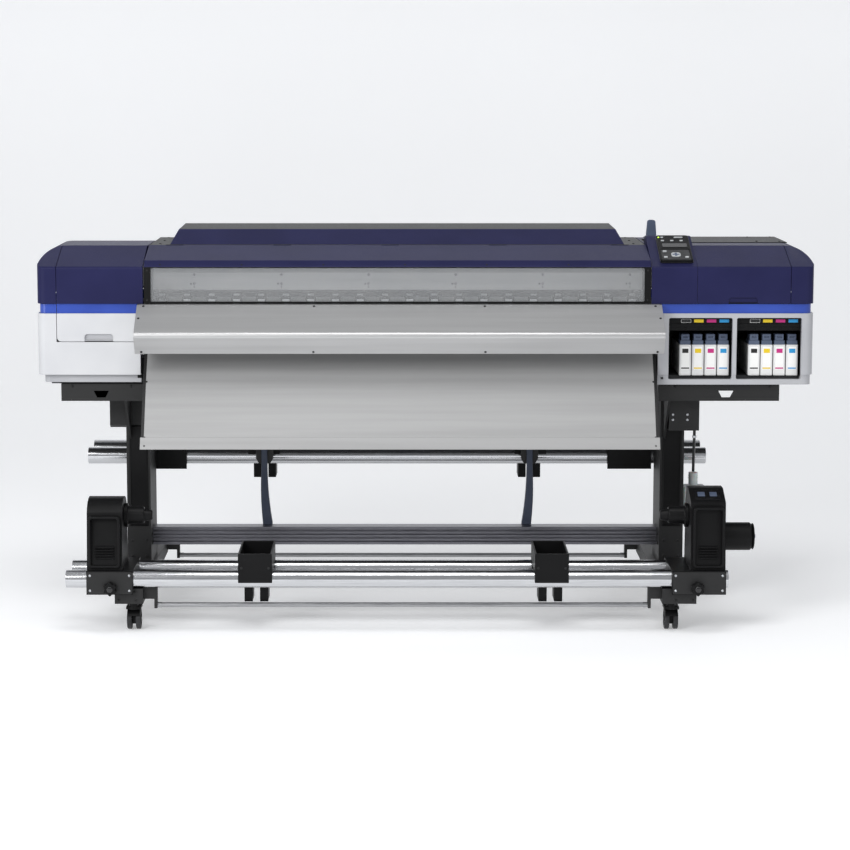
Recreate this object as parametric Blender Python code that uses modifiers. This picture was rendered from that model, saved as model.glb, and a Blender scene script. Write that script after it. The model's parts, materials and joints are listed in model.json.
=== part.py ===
"""Roll-to-roll sign printer on a castered stand, with a feed unit behind and a take-up unit in front.

Metres, +Z up, +X to the right of someone who faces the machine, front towards -Y.
The origin is at the middle of the footprint, on the floor.
"""

import math

import bmesh
import bpy
from mathutils import Matrix, Vector

# ---- Driving dimensions -------------------------------------------------------------------------
GAP = 0.0003  # clearance between pieces that touch
SHELL = 0.004  # wall of the plastic covers

# Printer head
HEAD_HALF = 1.310  # half of the overall width
HEAD_FRONT = -0.240
HEAD_REAR = 0.400
HEAD_TOP = 1.262
CREASE_Z = 1.201  # where the upright front turns into the slope
SLOPE_REAR = -0.055  # where the slope meets the flat top
UPPER_Z = 1.078  # lower edge of the upper covers
BAND_Z = 1.045  # lower edge of the coloured band
LOWER_Z = 0.837  # lower edge of the lower covers, above the plinth
PLINTH_Z = 0.810
BAND_INSET = 0.007
PLINTH_INSET = 0.020
END_ARC = (0.074, 0.061)  # width and height of the curve at the top of each end
END_CORNER = 0.030  # radius of the upright corners in plan

# Middle of the head: window, beam and platen between two side frames
BAY_LEFT = -0.948
BAY_RIGHT = 0.759
SIDE_FRAME = 0.010
BASE_Z = (0.8023, 0.830)
PLATEN_Z = (1.048, 1.066)
BEAM_Z = (1.120, 1.205)
BEAM_Y = (-0.028, 0.100)
FEED_ROLLER = (-0.078, 1.056, 0.012)  # Y, Z and radius
COVER_HINGE = (-0.030, 1.2635)  # Y and Z of the front cover's hinge
DOOR_HINGE = (SLOPE_REAR, 1.2625)  # Y and Z of both maintenance covers' hinges
LEFT_DOOR = (-1.243, -0.952)
RIGHT_DOOR = (0.9155, 1.2295)
DOOR_FOOT_Z = 0.950
POD = (0.761, 0.914)
POD_TOP = (-0.005, 1.2905)  # Y and Z of the top of the control panel's slope

# Stand
STAND_MID = -0.096  # middle of the rails and of the media path
COLUMN_LEFT = (-1.034, -0.952)
COLUMN_RIGHT = (0.816, 0.899)
COLUMN_Y = (-0.050, 0.170)
FOOT_LEFT = (-1.034, -0.940)
FOOT_RIGHT = (0.785, 0.899)
FOOT_Y = (-0.490, 0.470)
FOOT_Z = (0.100, 0.1512)
ARM_LEFT = (-1.237, -0.940)
ARM_RIGHT = (0.792, 1.203)
ARM_Y = (-0.200, 0.170)
ARM_Z = (0.743, 0.802)
CROSSBEAM_Y = (0.030, 0.095)
CROSSBEAM_Z = (0.205, 0.268)
TIE_Z = (0.080, 0.0985)

# Rails: Y, Z and half length
RAIL_RADIUS = 0.030
RAIL_WALL = 0.003
FRONT_RAILS = ((-0.470, 0.1815), (-0.292, 0.1815))
REAR_RAILS = ((0.213, 0.4955), (0.394, 0.4955))
RAIL_HALF = 1.100

# Casters
CASTER_X = (-0.977, 0.822)
CASTER_Y = 0.430
WHEEL_RADIUS = 0.034
WHEEL_TRAIL = 0.018
WHEEL_HALF = 0.025

# Roll holders: the roll's axis, as Y and Z
TAKE_UP_AXIS = (-0.380, 0.381)
FEED_AXIS = (0.3035, 0.690)

# Ink bays
BAYS = ((0.821, 1.036), (1.050, 1.269))
BAY_Z = (0.8303, 1.030)
CARTRIDGE = (0.040, 0.043)  # width and pitch
INKS = ("black", "yellow", "magenta", "cyan")

SPINDLE_RADIUS = 0.010

STEPS = 24  # segments of a turned piece
SMALL_STEPS = 12  # segments of a small one
WHEEL_STEPS = 20


# ---- Scene and finishes -------------------------------------------------------------------------
def clear_scene():
    for obj in list(bpy.data.objects):
        bpy.data.objects.remove(obj, do_unlink=True)
    parts = bpy.data.collections.new("roll_printer")
    bpy.context.scene.collection.children.link(parts)
    return parts


PARTS = clear_scene()


def finish(name, colour, roughness, metallic=0.0, alpha=1.0):
    surface = bpy.data.materials.new(name)
    surface.use_nodes = True
    shader = surface.node_tree.nodes["Principled BSDF"]
    shader.inputs["Base Color"].default_value = (*colour, 1.0)
    shader.inputs["Roughness"].default_value = roughness
    shader.inputs["Metallic"].default_value = metallic
    shader.inputs["Alpha"].default_value = alpha
    return surface


NAVY = finish("navy_abs", (0.027, 0.029, 0.095), 0.35)
WHITE = finish("white_abs", (0.66, 0.68, 0.71), 0.40)
SILVER = finish("silver_abs", (0.45, 0.46, 0.48), 0.40)
BLACK = finish("black_steel", (0.014, 0.014, 0.015), 0.45)
MOULDED = finish("black_moulding", (0.010, 0.010, 0.011), 0.50)
SHEET = finish("grey_sheet", (0.40, 0.40, 0.40), 0.45, 0.2)
CHROME = finish("polished_pipe", (0.70, 0.71, 0.73), 0.18, 1.0)
EXTRUSION = finish("anodised_extrusion", (0.30, 0.31, 0.33), 0.35, 1.0)
GLASS = finish("clear_acrylic", (0.80, 0.83, 0.86), 0.05, 0.0, 0.35)
TREAD = finish("caster_rubber", (0.012, 0.012, 0.012), 0.70)
SLATE = finish("slate_grip", (0.095, 0.125, 0.180), 0.45)
BOTTLE = finish("milky_bottle", (0.72, 0.74, 0.74), 0.30, 0.0, 0.8)
CARTRIDGE_WHITE = finish("cartridge_body", (0.72, 0.72, 0.72), 0.40)


# ---- Shape tools --------------------------------------------------------------------------------
def add(name, mesh):
    obj = bpy.data.objects.new(name, mesh)
    PARTS.objects.link(obj)
    return obj


def tidy(obj):
    """Merges doubled points and turns the faces of a closed mesh outwards."""
    shape = bmesh.new()
    shape.from_mesh(obj.data)
    bmesh.ops.remove_doubles(shape, verts=shape.verts, dist=1e-6)
    bmesh.ops.recalc_face_normals(shape, faces=shape.faces)
    shape.to_mesh(obj.data)
    shape.free()
    return obj


def block(low, high, name="block"):
    mesh = bpy.data.meshes.new(name)
    shape = bmesh.new()
    size = [b - a for a, b in zip(low, high)]
    middle = [(a + b) / 2 for a, b in zip(low, high)]
    place = Matrix.Translation(middle) @ Matrix.Diagonal((*size, 1.0))
    bmesh.ops.create_cube(shape, size=1.0, matrix=place)
    shape.to_mesh(mesh)
    shape.free()
    return add(name, mesh)


# How each outline plane stands: the outline's own X and Y become Y-Z, X-Z or X-Y.
TURNS = {
    "X": Matrix(((0, 0, 1), (1, 0, 0), (0, 1, 0))).to_4x4(),
    "Y": Matrix(((1, 0, 0), (0, 0, -1), (0, 1, 0))).to_4x4(),
    "Z": Matrix.Identity(4),
}
ALONG = {"X": Vector((1, 0, 0)), "Y": Vector((0, 1, 0)), "Z": Vector((0, 0, 1))}


def prism(axis, span, outline, name="prism"):
    """A flat outline, drawn across the axis, extruded over the span along it."""
    curve = bpy.data.curves.new(name, "CURVE")
    curve.dimensions = "2D"
    curve.fill_mode = "BOTH"
    curve.extrude = abs(span[1] - span[0]) / 2
    spline = curve.splines.new("POLY")
    spline.points.add(len(outline) - 1)
    for point, (across, up) in zip(spline.points, outline):
        point.co = (across, up, 0.0, 1.0)
    spline.use_cyclic_u = True
    guide = add(name + "_outline", curve)
    bpy.context.view_layer.update()
    graph = bpy.context.evaluated_depsgraph_get()
    mesh = bpy.data.meshes.new_from_object(guide.evaluated_get(graph))
    bpy.data.objects.remove(guide, do_unlink=True)
    mesh.materials.clear()
    mesh.transform(Matrix.Translation(ALONG[axis] * (span[0] + span[1]) / 2) @ TURNS[axis])
    return tidy(add(name, mesh))


def turned(axis, profile, centre, name="turned", ring=False, steps=STEPS):
    """A profile of (distance along the axis, radius) turned about the axis through the centre."""
    mesh = bpy.data.meshes.new(name)
    shape = bmesh.new()
    corners = [shape.verts.new((radius, 0.0, along)) for along, radius in profile]
    ends = corners[1:] + corners[:1] if ring else corners[1:]
    for start, end in zip(corners, ends):
        shape.edges.new((start, end))
    shape.to_mesh(mesh)
    shape.free()
    obj = add(name, mesh)
    screw = obj.modifiers.new("Turn", "SCREW")
    screw.steps = steps
    screw.render_steps = steps
    screw.use_merge_vertices = True
    screw.merge_threshold = 0.00001
    apply_modifiers(obj)
    turn = {"X": Matrix.Rotation(math.pi / 2, 4, "Y"), "Y": Matrix.Rotation(-math.pi / 2, 4, "X")}
    obj.data.transform(Matrix.Translation(centre) @ turn.get(axis, Matrix.Identity(4)))
    return tidy(obj)


def apply_modifiers(obj):
    bpy.context.view_layer.objects.active = obj
    for modifier in list(obj.modifiers):
        bpy.ops.object.modifier_apply(modifier=modifier.name)
    return obj


def combine(obj, others, operation):
    """Boolean of the object with each of the others, which are used up."""
    for other in others:
        modifier = obj.modifiers.new("Combine", "BOOLEAN")
        modifier.operation = operation
        modifier.solver = "EXACT"
        modifier.object = other
        apply_modifiers(obj)
        bpy.data.objects.remove(other, do_unlink=True)
    return obj


def join(obj, *others):
    return combine(obj, others, "UNION")


def cut(obj, *others):
    return combine(obj, others, "DIFFERENCE")


def keep(obj, *others):
    return combine(obj, others, "INTERSECT")


def part(obj, name, surface, origin=(0.0, 0.0, 0.0), smooth=False):
    """Names a finished piece, gives it its finish and puts its origin on its joint's axis."""
    obj.name = name
    obj.data.name = name
    obj.data.materials.clear()
    obj.data.materials.append(surface)
    obj.data.transform(Matrix.Translation(-Vector(origin)))
    obj.location = origin
    if smooth:
        obj.data.shade_smooth()
        obj.data.set_sharp_from_angle(angle=math.radians(30))
    return obj


def arc(centre, radii, start, end, steps):
    """Points along an ellipse's arc, in degrees, both ends included."""
    points = []
    for step in range(steps + 1):
        angle = math.radians(start + (end - start) * step / steps)
        points.append((centre[0] + radii[0] * math.cos(angle), centre[1] + radii[1] * math.sin(angle)))
    return points


# ---- Stand --------------------------------------------------------------------------------------
def rail_bores(rails, span, radius=RAIL_RADIUS + 2 * GAP):
    """Cutters for the two rails of a pair."""
    profile = [(span[0], 0.0), (span[0], radius), (span[1], radius), (span[1], 0.0)]
    return [turned("X", profile, (0.0, y, z)) for y, z in rails]


def leg(name, side):
    """Foot, column, head arm and rear rail plate welded into one piece. Side is -1 or +1."""
    foot, column, arm = (
        (FOOT_LEFT, COLUMN_LEFT, ARM_LEFT) if side < 0 else (FOOT_RIGHT, COLUMN_RIGHT, ARM_RIGHT)
    )
    outer = column[0] if side < 0 else column[1]
    inner = foot[1] if side < 0 else foot[0]
    frame = block((foot[0], FOOT_Y[0], FOOT_Z[0]), (foot[1], FOOT_Y[1], FOOT_Z[1]))
    upright = block((column[0], COLUMN_Y[0], 0.140), (column[1], COLUMN_Y[1], 0.8015))
    shelf = block((arm[0], ARM_Y[0], 0.790), (arm[1], ARM_Y[1], ARM_Z[1]))
    flange = block((arm[0], ARM_Y[0], ARM_Z[0]), (arm[1], ARM_Y[0] + 0.008, ARM_Z[1] - 0.0005))
    hand = -1.101 if side < 0 else 1.022
    hand_hole = prism("Y", (ARM_Y[0] - 0.05, ARM_Y[0] + 0.05), hand_outline(hand))
    outline = ((-0.199, 0.795), (-0.199, 0.744), (-0.040, 0.580), (-0.040, 0.795))
    gusset = prism("X", (column[0] + 0.010, column[0] + 0.018), outline)
    plate_x = (outer - side * 0.010, outer) if side > 0 else (outer, outer - side * 0.010)
    rail_plate = block((plate_x[0], 0.150, 0.445), (plate_x[1], 0.440, 0.546))
    frame = join(frame, upright, shelf, cut(flange, hand_hole), gusset, rail_plate)
    for y in (-0.450, 0.450):
        # An ear reaches inwards past the caster and drops to the tie bar.
        reach = sorted((inner + side * 0.020, inner - side * 0.045))
        drop = sorted((inner - side * 0.035, inner - side * 0.045))
        ear = block((reach[0], y - 0.015, 0.112), (reach[1], y + 0.015, 0.150))
        lug = block((drop[0], y - 0.015, TIE_Z[0]), (drop[1], y + 0.015, 0.130))
        frame = join(frame, ear, lug)
    cut(frame, *rail_bores(REAR_RAILS, (plate_x[0] - 0.05, plate_x[1] + 0.05)))
    if side < 0:
        hook_outline = ((-0.048, 0.745), (-0.048, 0.640), (-0.030, 0.630), (-0.020, 0.745))
        hook = prism("X", (-1.090, -1.030), hook_outline)
        join(frame, hook)
        join(frame, block((-1.090, -0.060, 0.738), (-1.028, 0.000, 0.795)))
    else:
        join(frame, block((0.838, -0.120, 0.630), (0.942, -0.045, 0.795)))
        join(frame, block((0.890, -0.020, 0.286), (0.985, 0.080, 0.298)))
    return part(frame, name, BLACK)


def hand_outline(middle):
    """Trapezoid hand hole in the arm's flange."""
    top, bottom = 0.778, 0.755
    wide, narrow = 0.026, 0.014
    return ((middle - wide, top), (middle + wide, top), (middle + narrow, bottom), (middle - narrow, bottom))


def crossbeam():
    """Fluted extrusion between the columns, with the two struts that brace the head."""
    low, high = CROSSBEAM_Z
    pitch = (high - low) / 5
    outline = [(CROSSBEAM_Y[1], high), (CROSSBEAM_Y[1], low), (CROSSBEAM_Y[0], low)]
    for groove in range(1, 5):
        z = low + groove * pitch
        outline += [(CROSSBEAM_Y[0], z - 0.002), (CROSSBEAM_Y[0] + 0.006, z - 0.002)]
        outline += [(CROSSBEAM_Y[0] + 0.006, z + 0.002), (CROSSBEAM_Y[0], z + 0.002)]
    outline.append((CROSSBEAM_Y[0], high))
    beam = prism("X", (COLUMN_LEFT[1] + GAP, COLUMN_RIGHT[0] - GAP), outline)
    for side in (-1, 1):
        top, bottom = 0.457 * side + STAND_MID, 0.440 * side + STAND_MID
        strut = prism("Y", (CROSSBEAM_Y[1] - 0.010, CROSSBEAM_Y[1] + 0.022), strut_outline(top, bottom, side))
        join(beam, strut)
    return part(beam, "stand_crossbeam", EXTRUSION)


def strut_outline(top, bottom, side):
    width = 0.021 * side
    wide = 0.034 * side
    sweep = [(top + (bottom - top) * f * f, 0.470 - 0.200 * f) for f in (0.0, 0.33, 0.67, 1.0)]
    inner = [(top, BASE_Z[0] - GAP)] + sweep + [(bottom, CROSSBEAM_Z[0] + 0.010)]
    outer = []
    for x, z in reversed(inner):
        flare = min(1.0, max(0.0, (0.470 - z) / 0.2))
        outer.append((x + width + (wide - width) * flare, z))
    return inner + outer


def tie_bar(name, y):
    low = FOOT_LEFT[1] + 0.045 + GAP
    high = FOOT_RIGHT[0] - 0.045 - GAP
    outline = arc((y, sum(TIE_Z) / 2), (0.0092, 0.0092), 0, 337.5, 15)
    return part(prism("X", (low, high), outline), name, EXTRUSION)


def rail(name, y, z):
    inner = RAIL_RADIUS - RAIL_WALL
    low, high = STAND_MID - RAIL_HALF, STAND_MID + RAIL_HALF
    profile = [(low, inner), (low, RAIL_RADIUS), (high, RAIL_RADIUS), (high, inner)]
    return part(turned("X", profile, (0.0, y, z), ring=True), name, CHROME, smooth=True)


def caster(label, x, y):
    """A fork that swivels under the foot and a twin wheel on its axle."""
    trail = y + WHEEL_TRAIL
    top = FOOT_Z[0] - GAP
    pivot = (x, y, top)
    axle = (x, trail, WHEEL_RADIUS)
    plate = block((x - 0.028, y - 0.028, top - 0.004), (x + 0.028, y + 0.028, top))
    stem_profile = [(0.070, 0.0), (0.070, 0.016), (top - 0.001, 0.016), (top - 0.001, 0.0)]
    stem = turned("Z", stem_profile, (x, y, 0.0), steps=SMALL_STEPS)
    hood = block((x - WHEEL_HALF, trail - 0.030, 0.0715), (x + WHEEL_HALF, trail + 0.030, 0.080))
    web = block((x - 0.0055, trail - 0.016, 0.020), (x + 0.0055, trail + 0.016, 0.075))
    fork = join(plate, stem, hood, web)
    bore = [(-0.02, 0.0), (-0.02, 0.0054), (0.02, 0.0054), (0.02, 0.0)]
    cut(fork, turned("X", bore, axle, steps=SMALL_STEPS))
    part(fork, f"caster_fork_{label}", MOULDED, pivot)
    # The tread's facets lie on the wheel's radius, and one of them is flat on the floor.
    tread = WHEEL_RADIUS / math.cos(math.pi / WHEEL_STEPS)
    half = [(0.006, 0.005), (0.006, 0.028), (0.008, tread), (0.022, tread)]
    half += [(WHEEL_HALF, 0.029), (WHEEL_HALF, 0.0)]
    profile = [(-along, radius) for along, radius in reversed(half)] + half
    wheel = turned("X", profile, axle, steps=WHEEL_STEPS)
    turn = Matrix.Rotation(math.pi / WHEEL_STEPS, 4, "X")
    wheel.data.transform(Matrix.Translation(axle) @ turn @ Matrix.Translation(-Vector(axle)))
    part(wheel, f"caster_wheel_{label}", TREAD, axle, smooth=True)


# ---- Roll holders, cores, knobs and media supports -------------------------------------------------
def spindle_bore(face, side, axis):
    """Cutter for the bore in a tower that a core's spindle turns in."""
    low, high = sorted((face - side * 0.020, face + side * 0.035))
    radius = SPINDLE_RADIUS + 0.0004
    profile = [(low, 0.0), (low, radius), (high, radius), (high, 0.0)]
    return turned("X", profile, (0.0, *axis), steps=SMALL_STEPS)


def take_up_holder(name, side):
    """Sliding base, front plate and tower. The right one carries the motor."""
    inner = STAND_MID + side * 0.912
    outer = STAND_MID + side * 1.029
    base_x = (outer, STAND_MID - 0.875) if side < 0 else (0.815, 0.994)
    tower_x = (outer, inner) if side < 0 else (0.878, 0.994)
    body = block((base_x[0], -0.5095, 0.155), (base_x[1], -0.252, 0.214))
    join(body, block((base_x[0], -0.5102, 0.135), (base_x[1], -0.5032, 0.2135)))
    top = 0.446 if side < 0 else 0.473
    if side < 0:
        crown = arc((-0.390, top - 0.050), (0.080, 0.050), 175, 5, 8)
        outline = [(-0.490, 0.200), (-0.480, 0.290)] + crown + [(-0.300, 0.290), (-0.290, 0.200)]
    else:
        outline = [(-0.490, 0.200), (-0.480, 0.300), (-0.470, 0.438), (-0.385, top), (-0.330, top)]
        outline += [(-0.300, 0.420), (-0.290, 0.200)]
    join(body, prism("X", tower_x, outline))
    if side > 0:
        housing = [(0.990, 0.0), (0.990, 0.047), (1.085, 0.047), (1.095, 0.038), (1.095, 0.0)]
        join(body, turned("X", housing, (0.0, TAKE_UP_AXIS[0], 0.309)))
    face = tower_x[1] if side < 0 else tower_x[0]
    bores = rail_bores(FRONT_RAILS, (base_x[0] - 0.05, base_x[1] + 0.05))
    cut(body, *bores, spindle_bore(face, side, TAKE_UP_AXIS))
    return part(body, name, MOULDED, (face, FRONT_RAILS[0][0], FRONT_RAILS[0][1]))


def feed_holder(name, side):
    """Sliding base and tower for the supply roll, with a locking handle behind."""
    span = sorted((STAND_MID + side * 0.748, STAND_MID + side * 0.904))
    tower_x = sorted((STAND_MID + side * 0.804, STAND_MID + side * 0.884))
    body = block((span[0], 0.1740, 0.469), (span[1], 0.433, 0.532))
    join(body, block((span[0], 0.1733, 0.452), (span[1], 0.1800, 0.5315)))
    crown = arc((FEED_AXIS[0], FEED_AXIS[1]), (0.050, 0.050), 0, 180, 8)
    join(body, prism("X", tower_x, [(0.210, 0.529), (0.397, 0.529)] + crown))
    middle = sum(span) / 2
    join(body, block((middle - 0.018, 0.425, 0.505), (middle + 0.018, 0.5425, 0.525)))
    face = tower_x[1] if side < 0 else tower_x[0]
    cut(body, *rail_bores(REAR_RAILS, (span[0] - 0.05, span[1] + 0.05)), spindle_bore(face, side, FEED_AXIS))
    return part(body, name, MOULDED, (face, REAR_RAILS[0][0], REAR_RAILS[0][1]))


def core(name, face, side, axis):
    """Stepped plug that grips a roll's paper core, on a spindle in the tower."""
    start = face - side * GAP
    steps = ((-0.030, 0.0), (-0.030, SPINDLE_RADIUS), (0.0, SPINDLE_RADIUS))
    steps += ((0.0, 0.040), (0.012, 0.040), (0.016, 0.030))
    steps += ((0.062, 0.030), (0.066, 0.020), (0.090, 0.017), (0.094, 0.0))
    profile = [(start - side * along, radius) for along, radius in steps]
    return part(turned("X", profile, (0.0, *axis), steps=16), name, MOULDED, (face, *axis), smooth=True)


def knob(name, x):
    """Six-lobed locking knob on the front plate of a take-up base."""
    lobes = []
    for step in range(36):
        angle = 2 * math.pi * step / 36
        radius = 0.0235 + 0.0025 * math.cos(6 * angle)
        lobes.append((x + radius * math.cos(angle), 0.158 + radius * math.sin(angle)))
    body = prism("Y", (-0.5425, -0.522), lobes)
    boss = [(-0.524, 0.0), (-0.524, 0.014), (-0.5105, 0.014), (-0.5105, 0.0)]
    join(body, turned("Y", boss, (x, 0.0, 0.158), steps=SMALL_STEPS))
    return part(body, name, MOULDED, (x, -0.5105, 0.158))


def media_support(name, middle, rails, skirt):
    """Open-topped tray that a loose roll rests on, with a foot between the rails."""
    front, rear = rails[0][0], rails[1][0]
    z = rails[0][1]
    half = 0.0565
    tray = block((middle - half, front - 0.0365, z + 0.022), (middle + half, rear + 0.0365, z + 0.090))
    inside = half - 0.006
    room = block((middle - inside, front - 0.0280, z + 0.042), (middle + inside, rear + 0.0280, z + 0.120))
    cut(tray, room)
    cut(tray, *rail_bores(rails, (middle - 0.1, middle + 0.1)))
    join(tray, block((middle - half, front - 0.0365, z + skirt), (middle + half, front - 0.0310, z + 0.060)))
    join(tray, block((middle - 0.040, front + 0.040, z - 0.086), (middle + 0.040, rear - 0.040, z + 0.030)))
    cut(tray, block((middle - 0.012, front, z - 0.100), (middle + 0.012, rear, z - 0.030)))
    return part(tray, name, MOULDED, (middle, front, z))


# ---- Head covers ----------------------------------------------------------------------------------
def head_profile(inset=0.0, bottom=UPPER_Z):
    """Front, slope, flat top and back of the head, as Y and Z."""
    front = HEAD_FRONT + inset
    rear = HEAD_REAR - inset
    return [
        (front, bottom),
        (front, CREASE_Z - inset * 0.6),
        (SLOPE_REAR, HEAD_TOP - inset * 1.05),
        (rear, HEAD_TOP - inset * 1.05),
        (rear, bottom),
    ]


def end_outline(side, inset, bottom, near):
    """The head's end seen from the front, curved over at the top."""
    width, height = END_ARC
    middle = side * (HEAD_HALF - width)
    radii = (side * (width - inset), height - inset)
    curve = arc((middle, CREASE_Z), radii, 0, 90, 6)
    return [(near, bottom), (side * (HEAD_HALF - inset), bottom)] + curve + [(near, HEAD_TOP - inset)]


def plan_outline(side, near, inset=0.0, front=HEAD_FRONT, rear=HEAD_REAR):
    """The head's end seen from above, with rounded corners at the outer end."""
    outer = HEAD_HALF - inset
    radius = END_CORNER - inset * 0.5
    middle = side * (outer - radius)
    reach = (side * radius, radius)
    first = arc((middle, front + inset + radius), reach, -90, 0, 4)
    last = arc((middle, rear - inset - radius), reach, 0, 90, 4)
    return [(near, front + inset)] + first + last + [(near, rear - inset)]


def head_end(side, near, inset=0.0, bottom=UPPER_Z):
    """Solid form of one end of the head: profile, end curve and plan kept in common."""
    span = sorted((near, side * (HEAD_HALF + 0.1)))
    form = prism("X", span, head_profile(inset, bottom))
    keep(form, prism("Y", (-0.5, 0.5), end_outline(side, inset, bottom - 0.1, near - side * 0.1)))
    return keep(form, prism("Z", (bottom - 0.2, 1.5), plan_outline(side, near - side * 0.1, inset)))


def left_upper_shell():
    shell = head_end(-1, BAY_LEFT - 0.002)
    cut(shell, head_end(-1, BAY_LEFT + 0.05, SHELL, UPPER_Z - 0.05))
    cut(shell, block((LEFT_DOOR[0] - 0.0015, -0.30, 1.0), (BAY_LEFT + 0.05, DOOR_HINGE[0] + 0.0005, 1.4)))
    return part(shell, "left_upper_shell", NAVY)


def pod_profile(inset=0.0, bottom=UPPER_Z):
    """The control pod's side view: steeper slope, level top and a step down to the head."""
    return [
        (HEAD_FRONT + inset, bottom),
        (HEAD_FRONT + inset, CREASE_Z - inset * 0.6),
        (POD_TOP[0], POD_TOP[1] - inset * 1.05),
        (0.035 - inset, POD_TOP[1] - inset * 1.05),
        (0.070 - inset, HEAD_TOP - inset),
        (0.070 - inset, bottom),
    ]


def right_upper_shell():
    shell = head_end(1, BAY_RIGHT + 0.002)
    join(shell, prism("X", (POD[0], POD[1] + 0.0005), pod_profile(0.0, UPPER_Z + 0.0002)))
    cut(shell, head_end(1, BAY_RIGHT - 0.05, SHELL, UPPER_Z - 0.05))
    cut(shell, prism("X", (POD[0] + SHELL, POD[1] - SHELL), pod_profile(SHELL, UPPER_Z - 0.05)))
    cut(shell, block((POD[1] + 0.0005, -0.30, 1.0), (RIGHT_DOOR[1] + 0.0015, DOOR_HINGE[0] + 0.0005, 1.4)))
    cut(shell, block((0.768, 0.100, 1.20), (0.814, 0.275, 1.40)))
    return part(shell, "right_upper_shell", NAVY)


def maintenance_cover(name, span, outline, recess):
    """Lift-up cover with a hand recess in its lower edge."""
    door = prism("X", span, outline)
    cut(door, block(*recess))
    return part(door, name, NAVY, (sum(span) / 2, *DOOR_HINGE))


def left_door():
    slope = SLOPE_REAR - 0.0015
    outline = [(HEAD_FRONT, DOOR_FOOT_Z), (HEAD_FRONT, BAND_Z), (HEAD_FRONT + BAND_INSET, BAND_Z)]
    outline += [(HEAD_FRONT + BAND_INSET, UPPER_Z), (HEAD_FRONT, UPPER_Z), (HEAD_FRONT, CREASE_Z)]
    outline += [(slope, HEAD_TOP - 0.0005), (slope, HEAD_TOP - 0.0045), (-0.229, CREASE_Z - 0.0015)]
    outline += [(-0.229, DOOR_FOOT_Z)]
    recess = ((-1.150, -0.30, 0.90), (-1.054, -0.235, 0.975))
    door = maintenance_cover("left_maintenance_cover", LEFT_DOOR, outline, recess)
    cut(door, block((-0.972, -0.30, 0.90), (-0.90, -0.20, UPPER_Z - 0.0003)))
    return door


def right_door():
    slope = SLOPE_REAR - 0.0015
    outline = [(HEAD_FRONT, UPPER_Z), (HEAD_FRONT, CREASE_Z), (slope, HEAD_TOP - 0.0005)]
    inner_front = HEAD_FRONT + SHELL
    outline += [(slope, HEAD_TOP - 0.0045), (inner_front, CREASE_Z - 0.0024), (inner_front, UPPER_Z)]
    recess = ((1.022, -0.30, 1.05), (1.118, -0.237, 1.098))
    return maintenance_cover("right_maintenance_cover", RIGHT_DOOR, outline, recess)


def lower_form(side, near, plinth, inset):
    """Lower cover, its band above and its plinth below, as one form of three steps."""
    form = prism("Z", (LOWER_Z, BAND_Z), plan_outline(side, near, inset))
    band = plan_outline(side, near, inset + BAND_INSET)
    foot = plan_outline(side, near, inset + PLINTH_INSET)
    join(form, prism("Z", (BAND_Z - 0.002, UPPER_Z - 0.001), band))
    return join(form, prism("Z", (plinth, LOWER_Z + 0.002), foot))


def left_lower_shell():
    near = -0.962
    shell = lower_form(-1, near, PLINTH_Z, 0.0)
    cavity = plan_outline(-1, near + 0.05, PLINTH_INSET + SHELL)
    cut(shell, prism("Z", (PLINTH_Z - 0.05, UPPER_Z + 0.05), cavity))
    cut(shell, block((LEFT_DOOR[0] - 0.0015, -0.30, DOOR_FOOT_Z - 0.0015), (near + 0.05, -0.200, 1.2)))
    return part(shell, "left_lower_shell", WHITE)


def right_lower_frame():
    """Lower cover of the right end, with the liner of the two ink bays moulded into it."""
    near = 0.785
    shell = lower_form(1, near, BASE_Z[0] + 0.001, 0.0)
    cavity = plan_outline(1, near - 0.05, PLINTH_INSET + SHELL)
    cut(shell, prism("Z", (0.70, UPPER_Z + 0.05), cavity))
    liner = block((0.803, -0.2200, BAY_Z[0]), (1.2785, 0.110, 1.038))
    join(shell, liner)
    for low, high in BAYS:
        cut(shell, block((low, -0.30, 0.8208), (high, -0.2170, BAY_Z[1])))
        cut(shell, block((low, -0.30, BAY_Z[0] - 0.010), (high, 0.060, BAY_Z[1])))
    return part(shell, "right_lower_frame", SILVER)


def front_cover():
    """Flip-up frame: slope above, two pillars and a bottom strip around the window."""
    low, high = BAY_LEFT, BAY_RIGHT
    hinge = COVER_HINGE[0] - 0.002
    outline = [(-0.240, 1.199), (-0.236, 1.206), (-0.210, 1.222), (hinge, 1.2628), (hinge, 1.2588)]
    outline += [(-0.210, 1.218), (-0.232, 1.204), (-0.232, 1.199)]
    frame = prism("X", (low, high), outline)
    for near, far in ((low, low + 0.022), (high - 0.022, high)):
        join(frame, block((near, HEAD_FRONT + 0.0003, 1.0785), (far, -0.2360, 1.2015)))
    join(frame, block((low + 0.001, HEAD_FRONT + 0.0006, 1.0788), (high - 0.001, -0.2361, 1.085)))
    return part(frame, "front_cover", NAVY, ((low + high) / 2, *COVER_HINGE))


def front_window():
    pane = block((BAY_LEFT + 0.006, -0.2357, 1.0792), (BAY_RIGHT - 0.006, -0.2325, 1.1985))
    return part(pane, "front_window", GLASS, ((BAY_LEFT + BAY_RIGHT) / 2, *COVER_HINGE))


def top_cover():
    """Raised cover over the media path, hollow underneath, on a flat flange."""
    flange = block((BAY_LEFT, COVER_HINGE[0] + 0.002, 1.2505), (BAY_RIGHT, 0.3955, HEAD_TOP))
    join(flange, hump(0.0, HEAD_TOP - 0.004))
    cut(flange, hump(0.005, 1.20))
    return part(flange, "top_cover", NAVY)


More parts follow.
